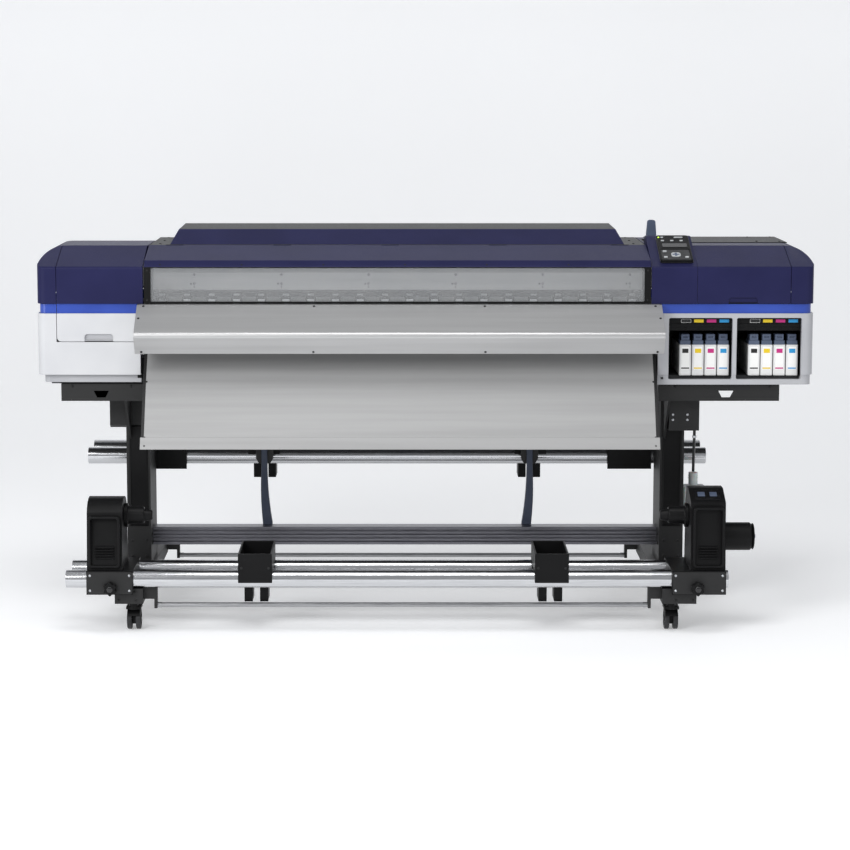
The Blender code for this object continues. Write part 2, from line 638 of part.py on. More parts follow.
def hump(inset, bottom):
    low, high = -0.879 + inset, 0.688 - inset
    crown = 1.309 - inset
    profile = [(inset, bottom), (inset, HEAD_TOP), (0.100, crown), (0.350, crown + 0.006)]
    profile += [(0.395 - inset, 1.290 - inset), (0.395 - inset, bottom)]
    ends = [(low, bottom), (low, HEAD_TOP), (low + 0.005, crown), (low + 0.024, crown + 0.008)]
    ends += [(high - 0.024, crown + 0.008), (high - 0.005, crown), (high, HEAD_TOP), (high, bottom)]
    return keep(prism("X", (low - 0.1, high + 0.1), profile), prism("Y", (-0.1, 0.5), ends))


# ---- Media path and carriage -----------------------------------------------------------------------
def chassis():
    """Base plate, side frames, platen and back plates. The carriage beam passes through the side frames."""
    left, right = BAY_LEFT + 0.0005, BAY_RIGHT - 0.001
    frame = block((-1.270, -0.190, BASE_Z[0]), (1.270, 0.366, BASE_Z[1]))
    side = [(-0.190, 0.820), (-0.190, 1.0725), (-0.030, 1.0725), (-0.030, 1.200), (0.110, 1.200)]
    side += [(0.110, 1.245), (0.3655, 1.245), (0.3655, 0.820)]
    for low in (left, right - SIDE_FRAME):
        join(frame, prism("X", (low, low + SIDE_FRAME), side))
    inside = (left + 0.002, right - 0.002)
    join(frame, block((inside[0], -0.1895, PLATEN_Z[0]), (inside[1], -0.092, PLATEN_Z[1])))
    join(frame, block((inside[0], -0.064, PLATEN_Z[0]), (inside[1], 0.190, PLATEN_Z[1])))
    slide = [(0.180, 1.065), (0.350, 0.870), (0.362, 0.870), (0.192, 1.065)]
    join(frame, prism("X", inside, slide))
    join(frame, block((inside[0], 0.361, 1.100), (inside[1], 0.3648, 1.2445)))
    beam_hole = [(BEAM_Y[0] - GAP, BEAM_Z[0] - GAP), (BEAM_Y[1] + GAP, BEAM_Z[0] - GAP)]
    beam_hole += [(BEAM_Y[1] + GAP, BEAM_Z[1] + GAP), (BEAM_Y[0] - GAP, BEAM_Z[1] + GAP)]
    cut(frame, prism("X", (left - 0.05, right + 0.05), beam_hole))
    y, z, _ = FEED_ROLLER
    journal = [(left - 0.02, 0.0), (left - 0.02, 0.0064), (right + 0.02, 0.0064), (right + 0.02, 0.0)]
    cut(frame, turned("X", journal, (0.0, y, z)))
    return part(frame, "chassis", BLACK)


def beam_cover():
    """Carriage beam, a channel open behind, with the folded sheet on brackets over its front."""
    outline = [(-0.060, 1.110), (-0.060, 1.169), (-0.036, 1.187), (-0.036, 1.200), (-0.034, 1.200)]
    outline += [(-0.034, 1.186), (-0.0575, 1.168), (-0.0575, 1.1125), (-0.036, 1.1125), (-0.036, 1.110)]
    cover = prism("X", (BAY_LEFT + 0.014, BAY_RIGHT - 0.015), outline)
    front, rear = BEAM_Y
    low, high = BEAM_Z
    wall = 0.004
    beam = [(front, low), (front, high), (rear, high), (rear, high - wall), (front + wall, high - wall)]
    beam += [(front + wall, low + wall), (rear, low + wall), (rear, low)]
    channel = prism("X", (-1.250, 1.250), beam)
    for x in (-0.800, -0.100, 0.600):
        join(cover, block((x - 0.020, -0.059, 1.126), (x + 0.020, front + 0.002, 1.160)))
    return part(join(cover, channel), "beam_cover", SHEET)


def pinch_roller_bar():
    """Bar with a row of pinch rollers' arms along its lower edge."""
    low, high = BAY_LEFT + 0.018, BAY_RIGHT - 0.019
    bar = block((low, -0.0925, 1.088), (high, -0.0640, 1.106))
    count = 20
    pitch = (high - low - 0.060) / (count - 1)
    for index in range(count):
        x = low + 0.030 + index * pitch
        join(bar, block((x - 0.020, -0.0915, 1.0700), (x + 0.020, -0.0650, 1.0885)))
    return part(bar, "pinch_roller_bar", MOULDED, ((low + high) / 2, -0.078, 1.070))


def feed_roller():
    y, z, radius = FEED_ROLLER
    low, high = BAY_LEFT + 0.0005 + SIDE_FRAME + GAP, BAY_RIGHT - 0.001 - SIDE_FRAME - GAP
    profile = [(low - 0.009, 0.0), (low - 0.009, 0.006), (low, 0.006), (low, radius)]
    profile += [(high, radius), (high, 0.006), (high + 0.009, 0.006), (high + 0.009, 0.0)]
    return part(turned("X", profile, (0.0, y, z)), "feed_roller", CHROME, (0.0, y, z), smooth=True)


def print_carriage():
    """Print head carriage, hung from the beam by an arm over its top."""
    outline = [(-0.2150, 1.080), (-0.2150, 1.165), (-0.195, 1.185), (-0.132, 1.185), (-0.132, 1.217)]
    outline += [(0.060, 1.217), (0.060, 1.2055), (-0.100, 1.2055), (-0.100, 1.0760), (-0.211, 1.0760)]
    body = prism("X", (0.930, 1.170), outline)
    return part(body, "print_carriage", BLACK, (1.050, -0.157, 1.130))


def after_heater_guide():
    """Heated sheet that carries the printed media down and forwards to its lower lip."""
    front = [(-0.410, 0.607), (-0.366, 0.688), (-0.320, 0.768), (-0.276, 0.837), (-0.236, 0.888)]
    front += [(-0.212, 0.925), (-0.206, 0.960), (-0.206, 1.045)]
    back = [(y + 0.010, z) for y, z in reversed(front)]
    back[-1] = (-0.398, 0.607)
    return part(prism("X", (-0.950, 0.778), front + back), "after_heater_guide", SHEET)


def dryer_hood():
    """Folded hood with closed ends over the top of the guide, open behind."""
    outer = [(-0.2405, 1.077), (-0.270, 1.077)] + hood_nose(0.0) + [(-0.360, 0.9215), (-0.350, 0.9215)]
    inner = [(-0.362 + 0.010, 0.928)] + list(reversed(hood_nose(0.003))) + [(-0.269, 1.074), (-0.2405, 1.074)]
    hood = prism("X", (-0.969, 0.793), outer + inner)
    for low, high in ((-0.969, -0.965), (0.789, 0.793)):
        join(hood, prism("X", (low, high), outer + [(-0.2405, 0.980)]))
    return part(hood, "dryer_hood", SHEET)


def hood_nose(inset):
    """The rounded front edge of the hood, from the upper slope round to the underside."""
    radius = 0.016
    return arc((-0.386, 0.984), (radius - inset, radius - inset), 125, 205, 4)


def loading_lever():
    """Lever that lifts the pinch rollers, wider at its lower end."""
    outline = [(0.776, 1.200), (0.806, 1.200), (0.8085, 1.292), (0.8045, 1.335), (0.7995, 1.342)]
    outline += [(0.7825, 1.342), (0.7775, 1.335), (0.7735, 1.292)]
    lever = prism("Y", (0.106, 0.126), outline)
    return part(lever, "media_loading_lever", SLATE, (0.791, 0.116, 1.206))


# ---- Control panel ---------------------------------------------------------------------------------
def on_pod(obj, lift):
    """Lays a piece modelled flat about the origin onto the pod's slope."""
    angle = math.atan2(POD_TOP[1] - CREASE_Z, POD_TOP[0] - HEAD_FRONT)
    middle = Vector((0.848, (HEAD_FRONT + POD_TOP[0]) / 2 + 0.004, (CREASE_Z + POD_TOP[1]) / 2 + 0.0016))
    normal = Vector((0.0, -math.sin(angle), math.cos(angle)))
    place = Matrix.Translation(middle + normal * lift) @ Matrix.Rotation(angle, 4, "X")
    obj.data.transform(place)
    return middle + normal * lift


def control_panel():
    slab = block((-0.055, -0.100, 0.0), (0.055, 0.104, 0.012))
    cut(slab, block((-0.0485, -0.0905, 0.0055), (0.0485, -0.0095, 0.03)))
    origin = on_pod(slab, GAP)
    return part(slab, "control_panel", MOULDED, origin)


def keypad():
    """One rubber mat with the menu keys and the square four-way key."""
    mat = block((-0.048, -0.090, 0.0070), (0.048, -0.010, 0.0100))
    keys = [(0.0, -0.055, 0.014, 0.014), (-0.036, -0.028, 0.006, 0.004), (-0.034, -0.075, 0.006, 0.004)]
    keys.append((0.034, -0.075, 0.006, 0.004))
    for x, y, half_x, half_y in keys:
        join(mat, block((x - half_x, y - half_y, 0.009), (x + half_x, y + half_y, 0.0135)))
    origin = on_pod(mat, GAP)
    return part(mat, "keypad", SLATE, origin)


# ---- Ink supply --------------------------------------------------------------------------------------
def cartridge(name, x):
    """Tall white cartridge with a grip tab standing on its front edge."""
    width = CARTRIDGE[0]
    low = BAY_Z[0] + GAP
    body = block((x, -0.206, low), (x + width, 0.050, 0.936))
    join(body, block((x + 0.0055, -0.200, 0.930), (x + width - 0.0055, -0.120, 0.972)))
    return part(body, name, CARTRIDGE_WHITE, (x + width / 2, -0.206, low))


def waste_bottle():
    """Square-shouldered bottle, hollow, open at its neck."""
    x, y = 0.941, 0.030
    low = 0.298 + GAP
    body = block((x - 0.039, y - 0.039, low), (x + 0.039, y + 0.039, 0.4315))
    neck = [(0.430, 0.0), (0.430, 0.020), (0.438, 0.016), (0.4625, 0.016), (0.4625, 0.0)]
    join(body, turned("Z", neck, (x, y, 0.0)))
    cut(body, block((x - 0.037, y - 0.037, low + 0.002), (x + 0.037, y + 0.037, 0.4290)))
    cut(body, turned("Z", [(0.420, 0.0), (0.420, 0.013), (0.480, 0.013), (0.480, 0.0)], (x, y, 0.0)))
    return part(body, "waste_bottle", BOTTLE, (x, y, low))


def waste_tube():
    """Drain tube from the box under the head down to just above the bottle's neck."""
    start = Vector((0.930, -0.085, 0.6285))
    end = Vector((0.941, 0.030, 0.466))
    curve = bpy.data.curves.new("waste_tube", "CURVE")
    curve.dimensions = "3D"
    curve.bevel_depth = 0.0050
    curve.bevel_resolution = 2
    curve.use_fill_caps = True
    spline = curve.splines.new("POLY")
    count = 14
    spline.points.add(count - 1)
    for index, point in enumerate(spline.points):
        along = index / (count - 1)
        ease = along * along * (3 - 2 * along)
        point.co = (
            start.x + (end.x - start.x) * ease,
            start.y + (end.y - start.y) * ease,
            start.z + (end.z - start.z) * along,
            1.0,
        )
    tube = add("waste_tube", curve)
    curve.materials.append(MOULDED)
    return tube


# ---- Assembly ---------------------------------------------------------------------------------------
def build_stand():
    leg("leg_left", -1)
    leg("leg_right", 1)
    crossbeam()
    tie_bar("front_tie_bar", -0.450)
    tie_bar("rear_tie_bar", 0.450)
    for label, (y, z) in zip(("front_rail_outer", "front_rail_inner"), FRONT_RAILS):
        rail(label, y, z)
    for label, (y, z) in zip(("rear_rail_inner", "rear_rail_outer"), REAR_RAILS):
        rail(label, y, z)
    for side, x in zip(("left", "right"), CASTER_X):
        for end, y in (("front", -CASTER_Y), ("rear", CASTER_Y - 2 * WHEEL_TRAIL)):
            caster(f"{end}_{side}", x, y)


def build_roll_units():
    for label, side in (("left", -1), ("right", 1)):
        take_up_holder(f"take_up_holder_{label}", side)
        core(f"take_up_core_{label}", -1.008 if side < 0 else 0.878, side, TAKE_UP_AXIS)
        knob(f"take_up_knob_{label}", -1.045 if side < 0 else 0.899)
        feed_holder(f"feed_holder_{label}", side)
        core(f"feed_core_{label}", STAND_MID + side * 0.804, side, FEED_AXIS)
        media_support(f"take_up_support_{label}", -0.5665 if side < 0 else 0.417, FRONT_RAILS, -0.008)
        media_support(f"feed_support_{label}", STAND_MID + side * 0.474, REAR_RAILS, 0.010)


def build_head():
    left_upper_shell()
    right_upper_shell()
    left_door()
    right_door()
    left_lower_shell()
    right_lower_frame()
    front_cover()
    front_window()
    top_cover()
    chassis()
    beam_cover()
    pinch_roller_bar()
    feed_roller()
    print_carriage()
    after_heater_guide()
    dryer_hood()
    loading_lever()
    control_panel()
    keypad()


def build_ink_supply():
    width, pitch = CARTRIDGE
    for bay, (_, high) in zip(("left", "right"), BAYS):
        first = high - 0.006 - width - 3 * pitch
        for index, ink in enumerate(INKS):
            cartridge(f"cartridge_{ink}_{bay}", first + index * pitch)
    waste_bottle()
    waste_tube()


build_stand()
build_roll_units()
build_head()
build_ink_supply()
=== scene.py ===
"""Dressed model of a wide roll-to-roll sign printer on its stand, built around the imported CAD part.

Metres, +Z up, +X to the right of a person who faces the machine, front towards -Y.
"""

import json
import logging
import math
from abc import ABC, abstractmethod
from collections.abc import Callable, Sequence
from dataclasses import dataclass, field
from enum import Enum

import bmesh
import bpy
from mathutils import Matrix, Vector

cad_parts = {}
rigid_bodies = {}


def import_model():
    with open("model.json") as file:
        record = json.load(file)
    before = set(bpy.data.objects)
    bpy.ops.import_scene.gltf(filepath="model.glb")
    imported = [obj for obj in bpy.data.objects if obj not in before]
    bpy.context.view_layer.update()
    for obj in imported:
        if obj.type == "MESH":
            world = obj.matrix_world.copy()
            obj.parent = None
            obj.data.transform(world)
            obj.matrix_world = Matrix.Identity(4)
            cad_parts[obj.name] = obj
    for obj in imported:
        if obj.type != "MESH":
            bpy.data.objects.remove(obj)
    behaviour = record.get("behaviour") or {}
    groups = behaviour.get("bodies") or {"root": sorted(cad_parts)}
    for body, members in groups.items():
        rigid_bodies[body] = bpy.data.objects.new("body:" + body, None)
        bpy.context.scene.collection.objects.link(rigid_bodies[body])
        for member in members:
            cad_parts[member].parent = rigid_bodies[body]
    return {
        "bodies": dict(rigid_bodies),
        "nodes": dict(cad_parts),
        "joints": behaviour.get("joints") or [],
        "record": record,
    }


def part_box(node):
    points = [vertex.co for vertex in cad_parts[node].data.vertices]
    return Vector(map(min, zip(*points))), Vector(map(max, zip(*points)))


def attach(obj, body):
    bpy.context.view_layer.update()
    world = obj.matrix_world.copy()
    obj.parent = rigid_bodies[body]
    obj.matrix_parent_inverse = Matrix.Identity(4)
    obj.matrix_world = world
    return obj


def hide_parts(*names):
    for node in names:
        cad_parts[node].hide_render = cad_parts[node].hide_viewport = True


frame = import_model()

LOG = logging.getLogger("printer")
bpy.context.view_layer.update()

Point = tuple[float, float, float]
Flat = tuple[float, float]
Span = tuple[float, float]
Piece = bpy.types.Object
Tree = bpy.types.NodeTree
Socket = bpy.types.NodeSocket
FaceTest = Callable[[Vector, Vector], bool]


class Axis(Enum):
    """The axis that an outline is pushed along, or that a profile is turned about."""

    X = "X"
    Y = "Y"
    Z = "Z"


class Slot(Enum):
    """The record's material slots."""

    BLACK_STEEL = "black_steel"
    EXTRUSION = "anodised_extrusion"
    PIPE = "polished_pipe"
    CASTER = "caster_moulding"
    TREAD = "caster_tread"
    NAVY = "navy_abs"
    WHITE = "white_abs"
    SILVER = "silver_abs"
    WINDOW = "clear_window"
    SHEET = "grey_sheet"
    ROLLER = "roller_steel"
    MOULDING = "black_moulding"
    SLATE = "slate_grip"
    CARTRIDGE = "cartridge_shell"
    BOTTLE = "milky_bottle"
    TUBE = "tube_rubber"


# ---- Outlines ------------------------------------------------------------------------------------
def arc(centre: Flat, radii: Flat, start: float, end: float, steps: int) -> list[Flat]:
    """Points along an ellipse's arc, both ends included.

    Args:
        centre: Middle of the ellipse.
        radii: Half width and half height.
        start: First angle in degrees.
        end: Last angle in degrees.
        steps: Number of chords.

    Returns:
        The points in order.
    """
    points = []
    for step in range(steps + 1):
        angle = math.radians(start + (end - start) * step / steps)
        points.append((centre[0] + radii[0] * math.cos(angle), centre[1] + radii[1] * math.sin(angle)))
    return points


def rounded(corners: Sequence[tuple[float, ...]], steps: int = 5) -> list[Flat]:
    """Rounds the corners of a closed outline.

    Args:
        corners: Across, up and, where the corner is round, its radius.
        steps: Chords in each round corner.

    Returns:
        The outline's points.
    """
    points: list[Flat] = []
    for index, corner in enumerate(corners):
        tip = Vector(corner[:2])
        radius = corner[2] if len(corner) > 2 else 0.0
        back = Vector(corners[index - 1][:2]) - tip
        ahead = Vector(corners[(index + 1) % len(corners)][:2]) - tip
        if radius <= 0.0 or back.length < 1e-9 or ahead.length < 1e-9:
            points.append((tip.x, tip.y))
            continue
        half = back.angle(ahead) / 2
        reach = min(radius / math.tan(half), back.length * 0.49, ahead.length * 0.49)
        true_radius = reach * math.tan(half)
        centre = tip + (back.normalized() + ahead.normalized()).normalized() * (true_radius / math.sin(half))
        first = tip + back.normalized() * reach - centre
        last = tip + ahead.normalized() * reach - centre
        begin = math.atan2(first.y, first.x)
        sweep = (math.atan2(last.y, last.x) - begin + math.pi) % (2 * math.pi) - math.pi
        for step in range(steps + 1):
            angle = begin + sweep * step / steps
            points.append(
                (centre.x + true_radius * math.cos(angle), centre.y + true_radius * math.sin(angle))
            )
    return points


def box_outline(low: Flat, high: Flat, radius: float, steps: int = 5) -> list[Flat]:
    """A rectangle's outline with its four corners rounded to one radius."""
    corners = ((low[0], low[1]), (high[0], low[1]), (high[0], high[1]), (low[0], high[1]))
    return rounded([(*corner, radius) for corner in corners], steps)


def flowing(points: Sequence[Point], per_span: int = 6) -> list[Point]:
    """A smooth line through the points.

    Args:
        points: The places that the line passes through.
        per_span: Points made between two of them.

    Returns:
        The line's points.
    """
    places = [Vector(point) for point in points]
    ends = [places[0] * 2 - places[1], *places, places[-1] * 2 - places[-2]]
    line: list[Point] = []
    for first, start, end, last in zip(ends, ends[1:], ends[2:], ends[3:]):
        for step in range(per_span):
            t = step / per_span
            bend = (first * 2 - start * 5 + end * 4 - last) * t * t + (
                start * 3 - first - end * 3 + last
            ) * t**3
            line.append(tuple((start * 2 + (end - first) * t + bend) / 2))
    line.append(tuple(places[-1]))
    return line


# ---- Tools ---------------------------------------------------------------------------------------
class Bench:
    """The workshop's hand tools. Each shapes one mesh with Blender's own operators."""

    SMOOTH_ANGLE = math.radians(38)
    MERGE = 1e-5

    @staticmethod
    def clear() -> None:
        """Leaves edit mode and deselects everything."""
        if bpy.context.object and bpy.context.object.mode != "OBJECT":
            bpy.ops.object.mode_set(mode="OBJECT")
        bpy.ops.object.select_all(action="DESELECT")

    @staticmethod
    def grip(obj: Piece) -> None:
        """Makes the piece the only one selected, and the active one.

        Args:
            obj: The piece.
        """
        Bench.clear()
        obj.select_set(True)
        bpy.context.view_layer.objects.active = obj

    @staticmethod
    def edit(obj: Piece) -> None:
        """Opens the piece in edit mode with all of it selected.

        Args:
            obj: The piece.
        """
        Bench.grip(obj)
        bpy.ops.object.mode_set(mode="EDIT")
        bpy.ops.mesh.select_all(action="SELECT")

    @staticmethod
    def apply(obj: Piece) -> Piece:
        """Applies every modifier on the piece.

        Args:
            obj: The piece.

        Returns:
            The same piece.
        """
        Bench.grip(obj)
        for modifier in list(obj.modifiers):
            bpy.ops.object.modifier_apply(modifier=modifier.name)
        return obj

    @staticmethod
    def heal(obj: Piece) -> Piece:
        """Merges doubled points and turns the faces outwards.

        Args:
            obj: The piece.

        Returns:
            The same piece.
        """
        Bench.edit(obj)
        bpy.ops.mesh.remove_doubles(threshold=Bench.MERGE)
        bpy.ops.mesh.normals_make_consistent(inside=False)
        bpy.ops.object.mode_set(mode="OBJECT")
        return obj

    @staticmethod
    def wire(points: Sequence[Point]) -> Piece:
        """Draws a line through the points, by extruding a point from each to the next.

        Args:
            points: The line's points.

        Returns:
            The piece, still in edit mode with the whole line selected.
        """
        Bench.clear()
        bpy.ops.mesh.primitive_plane_add(size=0.002, location=points[0])
        obj = bpy.context.object
        bpy.ops.object.transform_apply(location=True, rotation=True, scale=True)
        bpy.ops.object.mode_set(mode="EDIT")
        bpy.ops.mesh.select_all(action="SELECT")
        bpy.ops.mesh.merge(type="CENTER")
        for start, end in zip(points, points[1:]):
            step = Vector(end) - Vector(start)
            bpy.ops.mesh.extrude_vertices_move(TRANSFORM_OT_translate={"value": step})
        bpy.ops.mesh.select_all(action="SELECT")
        return obj

    @staticmethod
    def prism(axis: Axis, span: Span, outline: Sequence[Flat]) -> Piece:
        """Fills an outline drawn across the axis and extrudes it along the axis.

        Args:
            axis: The axis to extrude along.
            span: Where the prism starts and ends on it.
            outline: Y-Z, X-Z or X-Y points for the X, Y or Z axis.

        Returns:
            The closed prism.
        """
        low = span[0]
        places = {
            Axis.X: [(low, a, b) for a, b in outline], Axis.Y: [(a, low, b) for a, b in outline],
            Axis.Z: [(a, b, low) for a, b in outline],
        }[axis]
        push = Vector([span[1] - low if name == axis else 0.0 for name in Axis])
        obj = Bench.wire(places)
        bpy.ops.mesh.edge_face_add()
        bpy.ops.mesh.extrude_region_move(TRANSFORM_OT_translate={"value": push})
        bpy.ops.object.mode_set(mode="OBJECT")
        return Bench.heal(obj)

    @staticmethod
    def lathe(
        axis: Axis, profile: Sequence[Flat], centre: Point, steps: int = 32, ring: bool = False
    ) -> Piece:
        """Spins a profile about an axis through the centre.

        Args:
            axis: The axis to spin about.
            profile: Distance along the axis and radius, point by point.
            centre: A point on the axis, which distances are measured from.
            steps: Segments in the turn.
            ring: Whether the profile closes on itself, as a tube's wall does.

        Returns:
            The closed turned piece.
        """
        x, y, z = centre
        places = {
            Axis.X: [(x + along, y, z + radius) for along, radius in profile],
            Axis.Y: [(x, y + along, z + radius) for along, radius in profile],
            Axis.Z: [(x + radius, y, z + along) for along, radius in profile],
        }[axis]
        obj = Bench.wire(places + places[:1] if ring else places)
        turn = [1.0 if name == axis else 0.0 for name in Axis]
        bpy.ops.mesh.spin(steps=steps, angle=2 * math.pi, center=centre, axis=turn, use_auto_merge=True)
        bpy.ops.object.mode_set(mode="OBJECT")
        return Bench.heal(obj)

    @staticmethod
    def slab(low: Point, high: Point, edge: float = 0.0, segments: int = 3) -> Piece:
        """A cube added at its size and place, with its edges bevelled.

        Args:
            low: Lowest corner.
            high: Highest corner.
            edge: Bevel width, or none at 0.
            segments: Bevel segments.

        Returns:
            The block.
        """
        Bench.clear()
        size = [b - a for a, b in zip(low, high)]
        middle = [(a + b) / 2 for a, b in zip(low, high)]
        bpy.ops.mesh.primitive_cube_add(size=1.0, location=middle, scale=size)
        obj = bpy.context.object
        bpy.ops.object.transform_apply(location=True, rotation=True, scale=True)
        if edge > 0.0:
            Bench.edit(obj)
            bpy.ops.mesh.bevel(offset=edge, segments=segments, affect="EDGES")
            bpy.ops.object.mode_set(mode="OBJECT")
        return obj

    @staticmethod
    def pipe(points: Sequence[Point], radius: float, sides: int = 3) -> Piece:
        """A round rod or tube along a line.

        Args:
            points: The line.
            radius: The rod's radius.
            sides: Bevel resolution of the rod's section.

        Returns:
            The closed rod as a mesh.
        """
        obj = Bench.wire(points)
        bpy.ops.object.mode_set(mode="OBJECT")
        bpy.ops.object.convert(target="CURVE")
        obj = bpy.context.object
        obj.data.bevel_depth = radius
        obj.data.bevel_resolution = sides
        obj.data.use_fill_caps = True
        bpy.ops.object.convert(target="MESH")
        obj = bpy.context.object
        obj.data.materials.clear()
        return Bench.heal(obj)

    @staticmethod
    def merged(obj: Piece, others: Sequence[Piece], operation: str) -> Piece:
        """Boolean of the piece with each of the others, which are used up.

        Args:
            obj: The piece.
            others: The pieces to combine with it, which are used up.
            operation: DIFFERENCE, UNION or INTERSECT.

        Returns:
            The piece, changed.
        """
        for other in others:
            modifier = obj.modifiers.new("Merge", "BOOLEAN")
            modifier.operation = operation
            modifier.solver = "EXACT"
            modifier.object = other
            Bench.apply(obj)
            bpy.data.objects.remove(other, do_unlink=True)
        return obj

    @staticmethod
    def cut(obj: Piece, *tools: Piece) -> Piece:
        """Takes the tools away from the piece."""
        return Bench.merged(obj, tools, "DIFFERENCE")

    @staticmethod
    def fuse(obj: Piece, *others: Piece) -> Piece:
        """Makes one closed skin of the piece and the others."""
        return Bench.merged(obj, others, "UNION")

    @staticmethod
    def common(obj: Piece, *others: Piece) -> Piece:
        """Keeps what the piece and the others share."""
        return Bench.merged(obj, others, "INTERSECT")

    @staticmethod
    def slice_off(obj: Piece, point: Point, towards: Point) -> Piece:
        """Bisects the piece at a plane, drops the side that towards points to, and closes the cut.

        Args:
            obj: The piece.
            point: A point of the plane.
            towards: The plane's normal, into the side that goes.

        Returns:
            The piece, cut.
        """
        Bench.edit(obj)
        bpy.ops.mesh.bisect(plane_co=point, plane_no=towards, use_fill=True, clear_outer=True)
        bpy.ops.object.mode_set(mode="OBJECT")
        return Bench.heal(obj)

    @staticmethod
    def pick(obj: Piece, test: FaceTest) -> None:
        """Selects the faces whose normal and middle pass the test, in edit mode.

        Args:
            obj: The piece.
            test: Says from the normal and the middle whether a face is meant.
        """
        Bench.edit(obj)
        bpy.ops.mesh.select_all(action="DESELECT")
        shape = bmesh.from_edit_mesh(obj.data)
        for face in shape.faces:
            face.select_set(test(face.normal, face.calc_center_median()))
        bmesh.update_edit_mesh(obj.data)

    @staticmethod
    def press(obj: Piece, test: FaceTest, inset: float, depth: float) -> Piece:
        """Insets the faces that pass the test and raises them, or sinks them if depth is negative.

        Args:
            obj: The piece.
            test: Says from the normal and the middle whether a face is meant.
            inset: How far the outline moves inwards, in metres.
            depth: How far the faces rise, in metres, or sink if negative.

        Returns:
            The same piece.
        """
        Bench.pick(obj, test)
        bpy.ops.mesh.inset(thickness=inset, depth=0.0)
        bpy.ops.mesh.inset(thickness=min(abs(depth), inset) * 0.3, depth=depth)
        bpy.ops.object.mode_set(mode="OBJECT")
        return obj

    @staticmethod
    def soften(obj: Piece, width: float, segments: int = 2, angle: float = 30.0) -> Piece:
        """Rounds the piece's sharp edges and smooths its shading.

        Args:
            obj: The piece.
            width: Bevel width.
            segments: Bevel segments.
            angle: Edges sharper than this many degrees are rounded.

        Returns:
            The piece.
        """
        if width > 0.0:
            bevel = obj.modifiers.new("Bevel", "BEVEL")
            bevel.width = width
            bevel.segments = segments
            bevel.limit_method = "ANGLE"
            bevel.angle_limit = math.radians(angle)
            bevel.miter_outer = "MITER_ARC"
            Bench.apply(obj)
        Bench.grip(obj)
        bpy.ops.object.shade_smooth_by_angle(angle=Bench.SMOOTH_ANGLE)
        weighted = obj.modifiers.new("Weighted", "WEIGHTED_NORMAL")
        weighted.keep_sharp = True
        return Bench.apply(obj)

    @staticmethod
    def join(objs: Sequence[Piece]) -> Piece:
        """Joins the pieces into the first one.

        Args:
            objs: The pieces, which are used up.

        Returns:
            The first piece, now with all of them.
        """
        Bench.clear()
        for obj in objs:
            obj.select_set(True)
        bpy.context.view_layer.objects.active = objs[0]
        if len(objs) > 1:
            bpy.ops.object.join()
        return objs[0]

    @staticmethod
    def copy(obj: Piece, offset: Point = (0.0, 0.0, 0.0)) -> Piece:
        """A copy of the piece with its own mesh, moved by the offset.

        Args:
            obj: The piece.
            offset: How far the copy moves, in metres.

        Returns:
            The new piece.
        """
        Bench.grip(obj)
        bpy.ops.object.duplicate(linked=False)
        twin = bpy.context.object
        twin.data.transform(Matrix.Translation(offset))
        return twin

    @staticmethod
    def place(obj: Piece, matrix: Matrix) -> Piece:
        """Moves or turns the piece's mesh, and mends its faces if it was mirrored."""
        obj.data.transform(matrix)
        return Bench.heal(obj) if matrix.determinant() < 0 else obj

    @staticmethod
    def refine(node: str) -> Piece:
        """A copy of a CAD node's mesh, merged and with its flat faces made whole.

        Args:
            node: The CAD node's name.

        Returns:
            The new piece.
        """
        obj = bpy.data.objects.new(node + "_copy", frame["nodes"][node].data.copy())
        bpy.context.scene.collection.objects.link(obj)
        obj.data.materials.clear()
        Bench.edit(obj)
        bpy.ops.mesh.customdata_custom_splitnormals_clear()
        bpy.ops.mesh.remove_doubles(threshold=Bench.MERGE)
        bpy.ops.mesh.dissolve_limited(angle_limit=math.radians(0.6))
        bpy.ops.object.mode_set(mode="OBJECT")
        return obj


# ---- Finishes ------------------------------------------------------------------------------------
def linear(code: str) -> tuple[float, float, float, float]:
    """The linear colour of an sRGB hex value such as "#2E2F55"."""
    parts = [int(code[start : start + 2], 16) / 255 for start in (1, 3, 5)]
    return (*(c / 12.92 if c <= 0.04045 else ((c + 0.055) / 1.055) ** 2.4 for c in parts), 1.0)


def add_node(
    tree: Tree, kind: str, settings: dict[str, object] | None = None,
    values: dict[str | int, object] | None = None, links: dict[str | int, Socket] | None = None,
) -> bpy.types.Node:
    """Adds a node.

    Args:
        tree: The material's node tree.
        kind: The node's type.
        settings: The node's own properties.
        values: Values for its inputs, by name or number.
        links: Sockets that feed its inputs, by name or number.

    Returns:
        The node.
    """
    made = tree.nodes.new(kind)
    for name, value in (settings or {}).items():
        setattr(made, name, value)
    for name, value in (values or {}).items():
        made.inputs[name].default_value = value
    for name, socket in (links or {}).items():
        tree.links.new(socket, made.inputs[name])
    return made


@dataclass(frozen=True)
class Mix:
    """A material being made: its nodes, its shader, and the coordinates that its patterns follow."""

    tree: Tree
    shader: bpy.types.Node
    place: Socket


